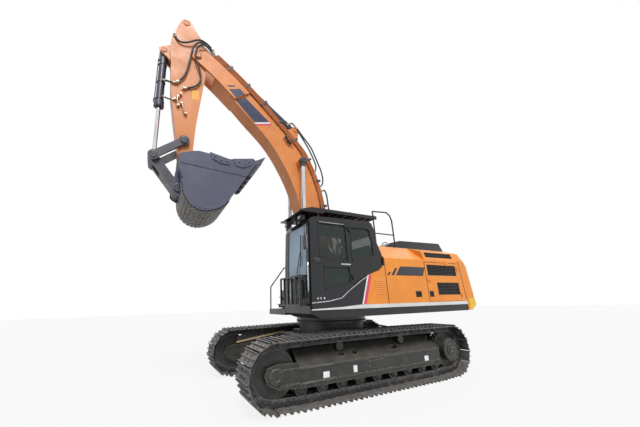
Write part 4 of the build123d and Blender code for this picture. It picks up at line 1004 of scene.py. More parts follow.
# %% Seals along the panels
# Each flat seal as two corners on the left side
seal_corners = [
    ((-0.424, 1.494, 1.50), (-0.408, 1.5012, 2.42)),
    ((-1.633, 1.494, 1.512), (-1.622, 1.5008, 2.385)),
    ((-2.755, 1.494, 2.377), (-1.622, 1.5008, 2.387)),
]
ridge = [(-0.416, 1.501, 2.421), (-0.416, 1.288, 2.597), (-0.416, 1.078, 2.771)]
seam = [(-2.951, 1.503), (-2.937, 1.503), (-2.853, 2.44), (-2.867, 2.44)]
seal_shape = bmesh.new()
for side in (1, -1):
    for low, high in seal_corners:
        box_on_side(seal_shape, low, high, side, 0.001)
    join(seal_shape, tube_part(on_side(ridge, side), 0.006))
    join(seal_shape, plate_part(seam, side * 0.004, 0), Matrix.Translation((0, side * 1.4975, 0)))
new_piece("panel_seals", seal_shape, seal_rubber, "upper")

# %% [markdown]
# ## Latches and what shows behind the grilles
# A paddle latch is a cast frame that holds a sprung paddle and a key barrel. Behind each grille, the
# eye sees no bright steel, but the dusty fins of a cooler deep in shade. A thin dark sheet just inside
# the opening gives that, partly as the fins' own dark colour and partly as painted shade, with no need
# to build the cooler. The sheets of the side doors swing with their doors.

# %% Latches
def latch_part():
    """A paddle latch: a bevelled frame with a raised paddle and a key barrel, facing Z."""
    part = box_part((0.11, 0.075, 0.012), 0.005)
    join(part, box_part((0.07, 0.05, 0.012), 0.005), Matrix.Translation((0.012, 0, 0.008)))
    barrel = turned_part([(0, 0.009), (0.014, 0.009), (0.016, 0.006)], 16)
    join(part, barrel, Matrix.Translation((-0.038, 0, 0.006)))
    return part


latch_places = ((-1.72, 1.97), (-2.40, 2.350))

# %% Dark sheets of painted shade behind the grilles
sheet_back_y, sheet_front_y = 1.470, 1.4735
# Each opening as (x from, z from, x to, z to)
door_openings = [(-2.73, 2.07, -1.69, 2.335), (-2.75, 1.64, -1.95, 1.935), (-1.81, 1.60, -1.652, 1.748)]
panel_openings = [(-1.415, 1.60, -1.21, 1.748)]


def add_sheets(shape, openings, side):
    """A thin sheet inside each opening of one side."""
    for x_from, z_from, x_to, z_to in openings:
        box_on_side(shape, (x_from, sheet_back_y, z_from), (x_to, sheet_front_y, z_to), side, 0)


# %% Latches and sheets of the side doors
for side, mark in ((1, "left"), (-1, "right")):
    shape, shade_sheet_shape = bmesh.new(), bmesh.new()
    spots = [aim((x, side * 1.504, z), (0, side, 0)) for x, z in latch_places]
    join(shape, latch_part(), copies=spots)
    new_piece("door_latches_" + mark, shape, orange_enamel, "side_door_" + mark)
    # A dark sheet in each door opening is painted shade behind the grille.
    add_sheets(shade_sheet_shape, door_openings, side)
    new_piece("door_vent_shade_sheets_" + mark, shade_sheet_shape, vent_core_and_painted_shade, "side_door_" + mark)

# %% Sheets of the fixed panels and the hood's slopes
# Dark sheets in the fixed openings and on the hood's slopes are painted shade behind their grilles.
shade_sheet_shape = bmesh.new()
shoulder_lean = math.atan2(0.059, 0.2)
for side in (1, -1):
    add_sheets(shade_sheet_shape, panel_openings, side)
    slope = plate_part([(-2.72, 0), (-1.72, 0), (-1.72, 0.15), (-2.72, 0.15)], 0.003, 0)
    turn = Matrix.Rotation(side * shoulder_lean, 4, "X")
    join(shade_sheet_shape, slope, Matrix.Translation((0, side * 1.455, 2.49)) @ turn)
new_piece("vent_shade_sheets", shade_sheet_shape, vent_core_and_painted_shade, "upper")

# %% [markdown]
# ## Counterweight
# The counterweight is a casting of many tonnes, with two eyes to lift it by and bolted covers over its
# own bolts. Its rear is round about the slewing axis, so that it sweeps a circle. The yellow corners
# are painted on, so they are a thin sheet whose points are worked out on that same round surface.

# %% The counterweight's round rear
def tail_x(y, z):
    """Where the counterweight's round rear stands at a place."""
    heights = [(1.300, 3.420), (1.400, 3.590), (1.640, 3.575), (2.320, 3.500)]
    (low_z, low_r), (high_z, high_r) = next(pair for pair in zip(heights, heights[1:]) if z <= pair[1][0])
    radius = low_r + (high_r - low_r) * (z - low_z) / (high_z - low_z) + 0.003
    return -math.sqrt(radius * radius - y * y)


def sheet_part(columns, depth):
    """A thin sheet through columns of points, with a back that stands depth behind it."""
    part = bmesh.new()
    front = [[part.verts.new(p) for p in column] for column in columns]
    back = [[part.verts.new(Vector(p) - Vector(depth(p))) for p in column] for column in columns]
    last, top = len(columns) - 1, len(columns[0]) - 1
    for i in range(last):
        for k in range(top):
            part.faces.new((front[i][k], front[i + 1][k], front[i + 1][k + 1], front[i][k + 1]))
            part.faces.new((back[i][k], back[i][k + 1], back[i + 1][k + 1], back[i + 1][k]))
    rim = [(i, 0) for i in range(last)] + [(last, k) for k in range(top)]
    rim += [(i, top) for i in range(last, 0, -1)] + [(0, k) for k in range(top, 0, -1)]
    for (i, k), (m, n) in zip(rim, rim[1:] + rim[:1]):
        part.faces.new((front[i][k], back[i][k], back[m][n], front[m][n]))
    return part


# %% Yellow corners
shape = bmesh.new()
corner_heights = (1.305, 1.35, 1.402, 1.48, 1.56)
corner_columns = (1.495, 1.46, 1.40, 1.33, 1.26, 1.19)
film_depth = 0.002


def towards_axis(place):
    """A film's depth from a place towards the slewing axis."""
    return Vector((place[0], place[1], 0)).normalized() * film_depth


for side in (1, -1):
    flat = [[(x, side * 1.4985, z) for z in corner_heights] for x in (-3.02, -3.10)]
    round_rows = [
        [(tail_x(y, z), side * (y + 0.0035 if y > 1.49 else y), z) for z in corner_heights]
        for y in corner_columns
    ]
    join(shape, sheet_part(flat + round_rows, towards_axis))
new_piece("yellow_corners", shape, yellow_enamel, "upper")

# %% Eyes, covers and lamps of the counterweight
rear_radius = 3.57
cover_y, cover_z = 0.55, 1.75
eye_outline = [(-3.06, 2.74), (-2.92, 2.74), (-2.94, 2.86), (-2.97, 2.885), (-3.01, 2.885), (-3.04, 2.86)]
weight_shape, weight_bolts = bmesh.new(), bmesh.new()
for side in (1, -1):
    eye = plate_part(eye_outline, 0.035, 0.006)
    join(weight_shape, eye, Matrix.Translation((-0.05, side * 0.72 - 0.0175, 0.02)))
    cover_turn = Matrix.Rotation(side * math.asin(cover_y / rear_radius), 4, "Z")
    cover_place = Matrix.Translation((tail_x(cover_y, cover_z) + 0.012, side * cover_y, cover_z))
    join(weight_shape, box_part((0.02, 0.34, 0.30), 0.006), cover_place @ cover_turn)
    for dy in (-0.13, 0.13):
        for z in (1.63, 1.87):
            y = cover_y + dy
            spot = aim((tail_x(y, z) - 0.004, side * y, z), (-1, side * y / rear_radius, 0))
            join(weight_bolts, bolt_part(0.03), spot)
new_piece("counterweight_eyes_and_covers", weight_shape, orange_enamel, "upper")
new_piece("counterweight_bolts", weight_bolts, zinc_plate, "upper")

lamp_y, lamp_z = 1.18, 1.9
lamp_shape, lens_shape = bmesh.new(), bmesh.new()
for side in (1, -1):
    spot = aim((tail_x(lamp_y, lamp_z) + 0.004, side * lamp_y, lamp_z), (-1, side * 0.34, 0.03))
    join(lamp_shape, box_part((0.20, 0.11, 0.03), 0.01), spot)
    join(lens_shape, box_part((0.17, 0.08, 0.02), 0.006), spot @ Matrix.Translation((0, 0, 0.012)))
new_piece("rear_lamp_frames", lamp_shape, seal_rubber, "upper")
new_piece("rear_lamp_lenses", lens_shape, red_vinyl, "upper")

# %% [markdown]
# ## Chain links, shoe bolts and rollers
# Under the shoes runs a chain of forged links, each as long as a shoe is wide, joined by pins. The
# frame has the chain as two plain rails, so link plates and pin heads go on both faces of each rail.
# Their places are worked out along the taut line round the wheels, with a link under every shoe.

# %% Places along the chain
wheel_x, wheel_z, wheel_radius = 2.035, 0.520, 0.345
roller_z, roller_radius = 0.265, 0.110
top_x, top_z, top_radius = 0.750, 0.808, 0.072
roller_reach = wheel_x - wheel_radius - roller_radius
# Each wheel on the left as seen from the side, as (x, z, radius), in the order that the chain meets them
wheels = [
    (roller_reach, roller_z, roller_radius), (wheel_x, wheel_z, wheel_radius), (top_x, top_z, top_radius),
    (-top_x, top_z, top_radius), (-wheel_x, wheel_z, wheel_radius), (-roller_reach, roller_z, roller_radius),
]


def chain_places(outward, count):
    """Places (x, z, heading) at an even pitch along the loop, starting at the middle of its bottom."""
    normals = []
    for (x0, z0, r0), (x1, z1, r1) in zip(wheels, wheels[1:] + wheels[:1]):
        heading = math.atan2(z1 - z0, x1 - x0)
        normals.append(heading - math.acos((r0 - r1) / math.dist((x0, z0), (x1, z1))))
    runs = []
    for i, (x, z, r) in enumerate(wheels):
        turn = (normals[i] - normals[i - 1]) % (2 * math.pi)
        radius = r + outward
        runs.append(("arc", x, z, radius, normals[i - 1], radius * turn))
        x1, z1, r1 = wheels[(i + 1) % len(wheels)]
        start = (x + radius * math.cos(normals[i]), z + radius * math.sin(normals[i]))
        end = (x1 + (r1 + outward) * math.cos(normals[i]), z1 + (r1 + outward) * math.sin(normals[i]))
        runs.append(("line", *start, *end, math.dist(start, end)))
    total = sum(run[-1] for run in runs)
    bottom_half = runs[-1][-1] / 2
    places = []
    for i in range(count):
        left = (total - bottom_half + total * i / count) % total
        for run in runs:
            if left <= run[-1]:
                break
            left -= run[-1]
        if run[0] == "arc":
            angle = run[4] + left / run[3]
            places.append(
                (run[1] + run[3] * math.cos(angle), run[2] + run[3] * math.sin(angle), angle + math.pi / 2)
            )
        else:
            share = left / run[-1]
            place = (run[1] + (run[3] - run[1]) * share, run[2] + (run[4] - run[2]) * share)
            places.append((*place, math.atan2(run[4] - run[2], run[3] - run[1])))
    return places


shoe_count = 51
first, second = chain_places(0.0, shoe_count)[:2]
print("pitch of the chain in mm:", round(1000 * math.dist(first[:2], second[:2])))

# %% Links, pin heads and shoe bolts
chain_middle_y = 1.295
link_height, link_thick, shoe_thick = 0.110, 0.014, 0.014
inner_y, outer_y = chain_middle_y - 0.124, chain_middle_y + 0.124
link_half = 0.086
link_outline = [
    (-link_half, 0.018), (-0.035, 0.012), (0.035, 0.012), (link_half, 0.018), (link_half + 0.012, 0.040),
    (link_half, 0.064), (0.045, 0.098), (-0.045, 0.098), (-link_half, 0.064), (-link_half - 0.012, 0.040),
]
for side, mark in ((1, "left"), (-1, "right")):
    links, heads, bolts = bmesh.new(), bmesh.new(), bmesh.new()
    link_spots, head_spots, bolt_spots = [], [], []
    for x, z, heading in chain_places(0.0, shoe_count):
        upright = Matrix.Rotation(-heading, 4, "Y") @ Matrix.Rotation(math.pi, 4, "X")
        turn = Matrix.Translation((x, 0, z)) @ upright
        for y in (inner_y, outer_y - link_thick):
            middle = Matrix.Translation((0, side * (y + 0.007) - 0.007, 0))
            link_spots.append(middle @ turn @ Matrix.Translation((0, -link_thick, 0)))
        for y, way in ((inner_y, -1), (outer_y, 1)):
            for dx in (-0.055, 0.055):
                centre = turn @ Vector((dx, 0, 0.040))
                head_spots.append(aim((centre.x, side * y, centre.z), (0, side * way, 0)))
    for x, z, heading in chain_places(link_height + shoe_thick, shoe_count):
        out = (math.sin(heading), 0, -math.cos(heading))
        run = Vector((math.cos(heading), 0, math.sin(heading)))
        for dy in (-0.088, 0.088):
            for dx in (-0.045, 0.045):
                bolt_spots.append(aim(Vector((x, side * (chain_middle_y + dy), z)) + run * dx, out))
    join(links, plate_part(link_outline, link_thick, 0.004), copies=link_spots)
    join(heads, turned_part([(0, 0.021), (0.004, 0.021), (0.007, 0.017)], 14), copies=head_spots)
    join(bolts, bolt_part(0.026), copies=bolt_spots)
    new_piece("chain_links_" + mark, links, link_steel, "undercarriage")
    new_piece("chain_pin_heads_" + mark, heads, link_steel, "undercarriage")
    new_piece("shoe_bolts_" + mark, bolts, link_steel, "undercarriage")

# %% [markdown]
# ## Hubs and covers of the tracks
# The rear wheel is driven by a motor inside it, whose cover has rings of bolts and two oil plugs. The
# front wheel's hub shows as a bolted cap on the frame's fork. Between them, rollers hang from bolted
# blocks, and a hatch near the middle gives access to the spring that keeps the chain taut.

# %% Bolts in a circle
def ring_of_bolts(shape, centre, y, side, ring_radius, count, size):
    """Bolts in a circle on a face that looks along Y."""
    face = aim((centre[0], side * y, centre[1]), (0, side, 0))
    turns = [face @ Matrix.Rotation(2 * math.pi * i / count, 4, "Z") for i in range(count)]
    spots = [turn @ Matrix.Translation((ring_radius, 0, 0)) for turn in turns]
    join(shape, bolt_part(size), copies=spots)


# %% Hubs, hatches and blank labels
drive_centre, front_centre = (-wheel_x, wheel_z), (wheel_x, 0.495)
hatch_x, hatch_z = 0.06, 0.475
cap_profile = [(0, 0.120), (0.012, 0.120), (0.018, 0.112), (0.018, 0.060), (0.012, 0.052), (0.012, 0.01)]
roller_cap_profile = [(0, 0.085), (0.012, 0.080), (0.022, 0.060), (0.030, 0.050)]
# Each blank label as (x from, x to, z from, z to)
label_boxes = [(1.205, 1.085, 0.380, 0.470), (0.585, 0.505, 0.390, 0.495), (-1.205, -1.320, 0.380, 0.470)]
roller_places = [-roller_reach + 2 * roller_reach * i / 8 for i in range(9)]
covers, cover_bolts, plugs, labels, roller_caps = (bmesh.new() for _ in range(5))
for side in (1, -1):
    hub = aim((-wheel_x, side * 1.495, wheel_z), (0, side, 0))
    join(covers, ring_part(0.150, 0.205, 0.008, 0.003, 48), hub)
    ring_of_bolts(cover_bolts, drive_centre, 1.503, side, 0.178, 18, 0.026)
    ring_of_bolts(cover_bolts, drive_centre, 1.517, side, 0.100, 10, 0.022)
    for angle in (60, 240):
        plug = hub @ Matrix.Rotation(math.radians(angle), 4, "Z") @ Matrix.Translation((0.035, 0, 0.034))
        join(plugs, turned_part([(0, 0.012), (0.008, 0.012), (0.010, 0.009)], 6), plug)
    cap = aim((front_centre[0], side * 1.480, front_centre[1]), (0, side, 0))
    join(covers, turned_part(cap_profile, 40), cap)
    ring_of_bolts(cover_bolts, front_centre, 1.497, side, 0.090, 8, 0.026)
    join(covers, box_part((0.36, 0.012, 0.13), 0.005), Matrix.Translation((hatch_x, side * 1.484, hatch_z)))
    for dx in (-0.15, 0.15):
        for dz in (-0.045, 0.045):
            join(cover_bolts, bolt_part(0.022), aim((hatch_x + dx, side * 1.490, hatch_z + dz), (0, side, 0)))
    for x in roller_places:
        for dx in (-0.035, 0.035):
            join(cover_bolts, bolt_part(0.026), aim((x + dx, side * 1.480, 0.318), (0, side, 0)))
        for way in (1, -1):
            centre = aim((x, side * chain_middle_y + way * 0.105, roller_z), (0, way, 0))
            join(roller_caps, turned_part(roller_cap_profile, 28), centre)
    for x_from, x_to, z_from, z_to in label_boxes:
        outline = [(x_from, z_from), (x_from, z_to), (x_to, z_to), (x_to, z_from)]
        join(labels, plate_part(outline, side * 0.002, 0), Matrix.Translation((0, side * 1.4802, 0)))
new_piece("hub_covers", covers, frame_enamel, "undercarriage")
new_piece("cover_bolts", cover_bolts, link_steel, "undercarriage")
new_piece("oil_plugs", plugs, zinc_plate, "undercarriage")

# %% [markdown]
# ## Guards and highlight strips of the track frames
# On its inner side each frame has plates that keep stones off the rollers, with short ribs between.
# Thin pale strips along the outer ribs are painted highlights of light on their edges. A pale beige
# strip on the far track, held by five domed bolts, is a painted highlight along its frame's inner slope.

# %% Inner guard plates
guard_inner_y, guard_outer_y = 1.122, 1.130
# Each flat guard as (x from, z from, x to, z to), and the outlines of the end plates
guard_boxes = [(-1.66, 0.088, 1.76, 0.340), (-1.40, 0.790, 1.30, 0.968)]
end_plates = [
    [(1.30, 0.60), (1.30, 0.968), (1.72, 0.930), (1.95, 0.80), (1.80, 0.60)],
    [(-1.40, 0.60), (-1.40, 0.968), (-1.78, 0.945), (-1.96, 0.82), (-1.86, 0.60)],
]
guards = bmesh.new()
for side in (1, -1):
    for x_from, z_from, x_to, z_to in guard_boxes:
        box_on_side(guards, (x_from, guard_inner_y, z_from), (x_to, guard_outer_y, z_to), side, 0.003)
    low_y = min(side * guard_inner_y, side * guard_outer_y)
    for outline in end_plates:
        join(guards, plate_part(outline, 0.008, 0.002), Matrix.Translation((0, low_y, 0)))
    for k in range(8):
        x = -1.45 + k * 0.41
        join(guards, box_part((0.05, 0.010, 0.20), 0.003), Matrix.Translation((x, side * 1.134, 0.21)))
new_piece("inner_guard_plates", guards, frame_enamel, "undercarriage")

# %% Painted highlights on the ribs and the far frame
# Thin strips on the outer ribs are painted highlights along their edges.
rib_highlight_strips = bmesh.new()
for side in (1, -1):
    for z in (0.358, 0.573):
        box_on_side(rib_highlight_strips, (1.02, 1.496, z - 0.008), (1.62, 1.4985, z + 0.008), side, 0.001)
new_piece("rib_edge_painted_highlights", rib_highlight_strips, shoe_steel, "undercarriage")
# A beige strip on the far frame's inner side is a painted highlight along its slope.
far_frame_highlight_shape = bmesh.new()
strip = plate_part([(1.955, 0.690), (1.955, 0.728), (0.715, 0.893), (0.715, 0.855)], 0.012, 0.003)
join(far_frame_highlight_shape, strip, Matrix.Translation((0, -1.112, 0)))
for k in range(5):
    place = aim((1.85 - 0.25 * k, -1.100, 0.723 + 0.033 * k), (0, 1, 0))
    join(far_frame_highlight_shape, turned_part([(0, 0.014), (0.005, 0.013), (0.008, 0.008)], 12), place)
new_piece("far_frame_highlight_strip", far_frame_highlight_shape, far_frame_painted_highlight, "undercarriage")
new_piece("blank_labels", labels, white_vinyl, "undercarriage")
new_piece("roller_caps", roller_caps, link_steel, "undercarriage")

# %% [markdown]
# ## Drives and the bearing
# Oil comes down through a joint in the middle of the car body, and two hoses lead from it to each
# drive motor, so they never twist as the upper body turns. A ring of bolts holds the bearing, with
# their heads downwards, and a rubber lip keeps grit out of it. All of this shows only from low down.

# %% Drive hoses, motors and the bearing's bolts
# The left hoses' route, as it runs for the lower of the two
drive_route = [
    (-0.40, 0.25, 0.975), (-0.70, 0.42, 0.995), (-1.06, 0.78, 0.93),
    (-1.50, 1.03, 0.76), (-1.82, 1.06, 0.66), (-1.95, 1.10, 0.60),
]
for side, mark in ((1, "left"), (-1, "right")):
    for i, rise_z in enumerate((0.0, 0.06)):
        route = [(x, y, z + rise_z) for x, y, z in on_side(drive_route, side)]
        add_hose("drive_hose_%s_%d" % (mark, i + 1), route, 0.018, body="undercarriage")
motor_profile = [(0, 0.175), (0.03, 0.175), (0.04, 0.15), (0.15, 0.14), (0.19, 0.10), (0.20, 0.05)]
bearing_bolt_count = 36
motors, bearing, bearing_bolts = bmesh.new(), bmesh.new(), bmesh.new()
for side in (1, -1):
    motor = aim((-wheel_x, side * 1.130, wheel_z), (0, -side, 0))
    join(motors, turned_part(motor_profile, 32), motor)
join(motors, turned_part([(0.96, 0.20), (1.04, 0.20), (1.06, 0.17), (1.12, 0.17)], 32))
new_piece("drive_motors", motors, engine_iron, "undercarriage")
join(bearing, ring_part(0.796, 0.806, 0.030, 0.004, 72), Matrix.Translation((0, 0, 1.16)))
new_piece("bearing_seal", bearing, seal_rubber, "upper")
under_ring = Matrix.Translation((0.755, 0, 1.135)) @ Matrix.Rotation(math.pi, 4, "X")
bolt_turns = []
for i in range(bearing_bolt_count):
    bolt_turns.append(Matrix.Rotation(2 * math.pi * i / bearing_bolt_count, 4, "Z") @ under_ring)
join(bearing_bolts, bolt_part(0.036), copies=bolt_turns)
new_piece("bearing_bolts", bearing_bolts, link_steel, "upper")

# %% [markdown]
# ## Cab
# The cab is black sheet over a frame of tube. Round its windows run rubber seals, a bright trim edges
# the slanted skirt, and the guard's slats carry a plate. A grab bar stands by the front corner. The
# wiper, mirror, door handle, latches and lamp glasses are small, yet the eye looks for them.

# %% Seals, trims and handles
def strip_part(points, width, thickness):
    """A flat strip along straight runs in X and Z, as wide as width and thick along Y."""
    part = bmesh.new()
    for start, end in zip(points, points[1:]):
        run = (Vector((end[0], 0, end[1])) - Vector((start[0], 0, start[1])))
        middle = Vector((start[0] + end[0], 0, start[1] + end[1])) / 2
        turn = Matrix.Translation(middle) @ Matrix.Rotation(-math.atan2(run.z, run.x), 4, "Y")
        join(part, box_part((run.length + width * 0.9, thickness, width), 0.002), turn)
    return part


door_window = [(1.158, 2.369), (1.158, 3.024), (0.555, 3.024), (0.515, 2.984), (0.515, 2.302), (1.158, 2.369)]
door_low_window = [(1.079, 1.766), (1.079, 2.195), (0.492, 2.195), (0.492, 1.900), (1.079, 1.766)]
rear_window = [
    (0.380, 2.341), (0.380, 3.020), (-0.090, 3.020), (-0.130, 2.973), (-0.180, 2.700), (-0.180, 2.463),
    (0.380, 2.341),
]
right_window = [
    (1.330, 2.000), (1.300, 3.060), (-0.130, 3.040), (-0.190, 2.463), (-0.190, 2.300), (1.330, 2.000)
]
door_seals, shell_seals = bmesh.new(), bmesh.new()
for outline in (door_window, door_low_window):
    join(door_seals, strip_part(outline, 0.022, 0.010), Matrix.Translation((0, 1.501, 0)))
join(shell_seals, strip_part(rear_window, 0.022, 0.010), Matrix.Translation((0, 1.468, 0)))
join(shell_seals, strip_part(right_window, 0.022, 0.010), Matrix.Translation((0, 0.476, 0)))
new_piece("door_window_seals", door_seals, seal_rubber, "cab_door")
new_piece("cab_window_seals", shell_seals, seal_rubber, "upper")

trim_line = [(1.362, 1.552), (0.997, 1.578), (0.730, 1.628), (0.533, 1.768), (0.221, 1.956), (0.078, 2.026)]
trim, grab, door_trim = bmesh.new(), bmesh.new(), bmesh.new()
join(trim, strip_part(trim_line, 0.016, 0.006), Matrix.Translation((0, 1.500, 0)))
new_piece("skirt_trim", trim, bright_trim, "upper")
corner_bar = [(1.372, 1.40, 1.74), (1.40, 1.455, 1.76), (1.398, 1.455, 2.0)]
corner_bar += [(1.392, 1.455, 2.26), (1.372, 1.40, 2.29)]
join(grab, tube_part(corner_bar, 0.014))
for y in (1.16, 0.80):
    bar = [(1.392, y, 1.60), (1.430, y, 1.62), (1.430, y, 1.80), (1.430, y, 1.96), (1.392, y, 1.98)]
    join(grab, tube_part(bar, 0.012))
new_piece("grab_bars", grab, bright_trim, "upper")
join(door_trim, strip_part([(1.13, 3.042), (0.56, 3.042)], 0.010, 0.004), Matrix.Translation((0, 1.5005, 0)))
join(door_trim, box_part((0.23, 0.004, 0.026), 0.001), Matrix.Translation((0.575, 1.5005, 2.246)))
for x in (1.246, 1.184, 1.111):
    stud = turned_part([(0, 0.016), (0.008, 0.016), (0.012, 0.010)], 16)
    join(door_trim, stud, aim((x, 1.499, 1.625), (0, 1, 0)))
new_piece("door_trims", door_trim, bright_trim, "cab_door")
handle = bmesh.new()
join(handle, box_part((0.15, 0.022, 0.085), 0.010), Matrix.Translation((1.235, 1.505, 2.30)))
pull = [(1.285, 1.512, 2.30), (1.282, 1.545, 2.30), (1.235, 1.552, 2.30), (1.190, 1.545, 2.30)]
pull += [(1.187, 1.512, 2.30)]
join(handle, tube_part(pull, 0.009))
new_piece("door_handle", handle, cab_plastic, "cab_door")

# %% [markdown]
# ## The cab's outer fittings
# Each lamp glass is a sheet with moulded ribs, which break up its reflection, and its pale white is a
# painted glint. The windshield leans back, so its pale blue sheet, a painted reflection, and its frame
# are outlines seen from the side that are drawn out across the cab. The mirror's glass is the only
# bright plane there, and it faces backwards.

# %% Guard plate, lamp glasses, wiper and mirror
guard, lenses, wiper, mirrors, mirror_glass = (bmesh.new() for _ in range(5))
box_between(guard, (-0.405, 0.532, 3.3155), (0.995, 1.408, 3.3195), 0.001)
for x in (-0.36, 0.30, 0.96):
    for y in (0.515, 1.425):
        join(guard, bolt_part(0.026), aim((x, y, 3.347), (0, 0, 1)))
new_piece("roof_guard_plate", guard, black_enamel, "upper")
# The lamp glasses' pale white is a painted glint.
for y in (0.640, 1.250):
    join(lenses, box_part((0.006, 0.092, 0.054), 0.002), Matrix.Translation((1.432, y, 3.1625)))
    for k in range(6):
        rib_place = Matrix.Translation((1.436, y, 3.142 + k * 0.0082))
        join(lenses, box_part((0.004, 0.088, 0.003), 0.001), rib_place)
new_piece("lamp_glasses", lenses, lamp_glass_painted_glint, "upper")
lean = math.atan2(0.03, 0.8)
join(wiper, turned_part([(0, 0.035), (0.03, 0.035), (0.036, 0.02)], 20), aim((1.389, 1.02, 2.03), (1, 0, 0)))
join(wiper, tube_part([(1.402, 1.02, 2.03), (1.408, 1.10, 2.25), (1.398, 1.18, 2.48)], 0.007))
blade = Matrix.Translation((1.388, 1.19, 2.52)) @ Matrix.Rotation(-lean, 4, "Y")
join(wiper, box_part((0.012, 0.016, 0.62), 0.003), blade)
new_piece("wiper", wiper, seal_rubber, "upper")
arm_route = [(1.34, 1.44, 2.98), (1.43, 1.48, 2.98), (1.465, 1.495, 2.90), (1.465, 1.495, 2.74)]
join(mirrors, tube_part(arm_route, 0.010))
face = aim((1.465, 1.50, 2.62), (-1, 0.25, 0))
join(mirrors, box_part((0.15, 0.27, 0.045), 0.018), face)
join(mirror_glass, box_part((0.13, 0.245, 0.006), 0.002), face @ Matrix.Translation((0, 0, 0.022)))
new_piece("mirror_housings", mirrors, cab_plastic, "upper")
new_piece("mirror_glasses", mirror_glass, rod_chrome, "upper")

# %% Windshield
# The windshield's pale blue sheet is a painted reflection.
windshield_sheet_shape, frame_bars = bmesh.new(), bmesh.new()
windshield_sheet_outline = [
    (1.3795, 2.022), (1.3795, 2.200), (1.3495, 2.998), (1.3475, 2.998), (1.3775, 2.200), (1.3775, 2.022)
]
join(windshield_sheet_shape, plate_part(windshield_sheet_outline, 0.740, 0), Matrix.Translation((0, 0.646, 0)))
bar_outline = [
    (1.392, 2.022), (1.392, 2.200), (1.362, 2.998), (1.3475, 2.998), (1.3775, 2.200), (1.3775, 2.022)
]
for y, wide in ((0.563, 0.080), (1.388, 0.010)):
    join(frame_bars, plate_part(bar_outline, wide, 0.003), Matrix.Translation((0, y, 0)))
new_piece("windshield_frame", frame_bars, black_enamel, "upper")
new_piece("windshield_painted_reflection_sheet", windshield_sheet_shape, windshield_painted_reflection, "upper")

# %% [markdown]
# ## Driver's seat
# A machine seat is a pan of foam under tight cloth, with side bolsters, a waist crease and a headrest,
# on a scissor base in a rubber boot. Foam crowns between its seams, so each pad is a box whose faces
# bulge and whose sides pull in, on a grid fine enough to look smooth, with a piping cord along its
# seam. It stands where the frame's plain seat is, which it replaces.

# %% Seat pads
def pad_part(size, crown, pull, creases=()):
    """A crowned pad around the origin, with sides that pull in and sewn creases across its top."""
    part = bmesh.new()
    bmesh.ops.create_grid(part, x_segments=14, y_segments=14, size=0.5)
    top = part.faces[:]
    moved = bmesh.ops.extrude_face_region(part, geom=top)["geom"]
    lower = [v for v in part.verts if v not in moved]
    for v in part.verts:
        u, w = v.co.x * 2, v.co.y * 2
        dome = (1 - u**4) * (1 - w**4)
        groove = sum(math.exp(-(((v.co.x - c) / 0.035) ** 2)) for c in creases)
        if v in lower:
            v.co.z = -0.5 - 0.15 * crown * dome
        else:
            v.co.z = 0.5 + crown * dome - 0.16 * groove * (1 - w**6)
        corner = max(abs(u), abs(w)) ** 6
        v.co.x *= 1 - pull * corner * (1 - w * w) * 0.5 - 0.04 * (u * w) ** 4
        v.co.y *= 1 - pull * corner * (1 - u * u) * 0.5 - 0.04 * (u * w) ** 4
    rims = [e for e in part.edges if len(e.link_faces) == 2 and e.calc_face_angle(0) > 0.9]
    bmesh.ops.bevel(part, geom=rims, offset=0.09, segments=3, affect="EDGES")
    bmesh.ops.scale(part, vec=size, verts=part.verts)
    return part


seat_middle_y = 0.965
seat_parts = {
    "seat_cushion": ((0.48, 0.50, 0.13), (0.33, seat_middle_y, 1.945), 0, (-0.12, 0.2), 0.5),
    "seat_backrest": ((0.60, 0.46, 0.12), (0.115, seat_middle_y, 2.275), -82, (-0.15, 0.15), 0.5),
    "seat_headrest": ((0.18, 0.27, 0.09), (0.060, seat_middle_y, 2.655 - 0.12), -84, (), 0.6),
}
for name, (size, centre, lean, creases, fill) in seat_parts.items():
    shape = bmesh.new()
    turn = Matrix.Translation(centre) @ Matrix.Rotation(math.radians(lean), 4, "Y")
    join(shape, pad_part(size, 0.28, 0.06, creases), turn)
    half_x, half_y = size[0] * 0.485, size[1] * 0.485
    seam = [
        (half_x, 0), (half_x, half_y), (-half_x, half_y), (-half_x, -half_y), (half_x, -half_y), (half_x, 0)
    ]
    join(shape, tube_part([(x, y, size[2] * 0.36) for x, y in seam], 0.005), turn)
    pad = new_piece(name, shape, seat_cloth, "upper")
shape = bmesh.new()
for side in (1, -1):
    for centre, size, lean in (
        ((0.36, 1.975), (0.42, 0.07, 0.10), 0), ((0.115, 2.26), (0.48, 0.07, 0.13), -82)
    ):
        place = Matrix.Translation((centre[0], seat_middle_y + side * 0.235, centre[1]))
        join(shape, pad_part(size, 0.2, 0.04), place @ Matrix.Rotation(math.radians(lean), 4, "Y"))
bolsters = new_piece("seat_bolsters", shape, seat_cloth, "upper")
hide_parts("seat")

# %% [markdown]
# ## Under and around the seat
# The seat rides on a scissor base, which hides in a folded rubber boot, so the boot is a stack of
# boxes of two widths. A console stands on each side with a joystick in its own small boot. Two levers
# with pedals drive the tracks. The display faces the driver from the front corner, switched off.

# %% Seat base
fold_height = 0.066
base = bmesh.new()
box_between(base, (0.10, 0.76, 1.472), (0.54, 1.17, 1.53), 0.012)
for k in range(5):
    inset = 0.02 * (k % 2)
    low = (0.13 + inset, 0.79 + inset, 1.53 + k * fold_height)
    high = (0.51 - inset, 1.14 - inset, 1.596 + k * fold_height)
    box_between(base, low, high, 0.02)
box_between(base, (0.09, 0.74, 1.858), (0.56, 1.19, 1.885), 0.010)
new_piece("seat_base", base, seal_rubber, "upper")

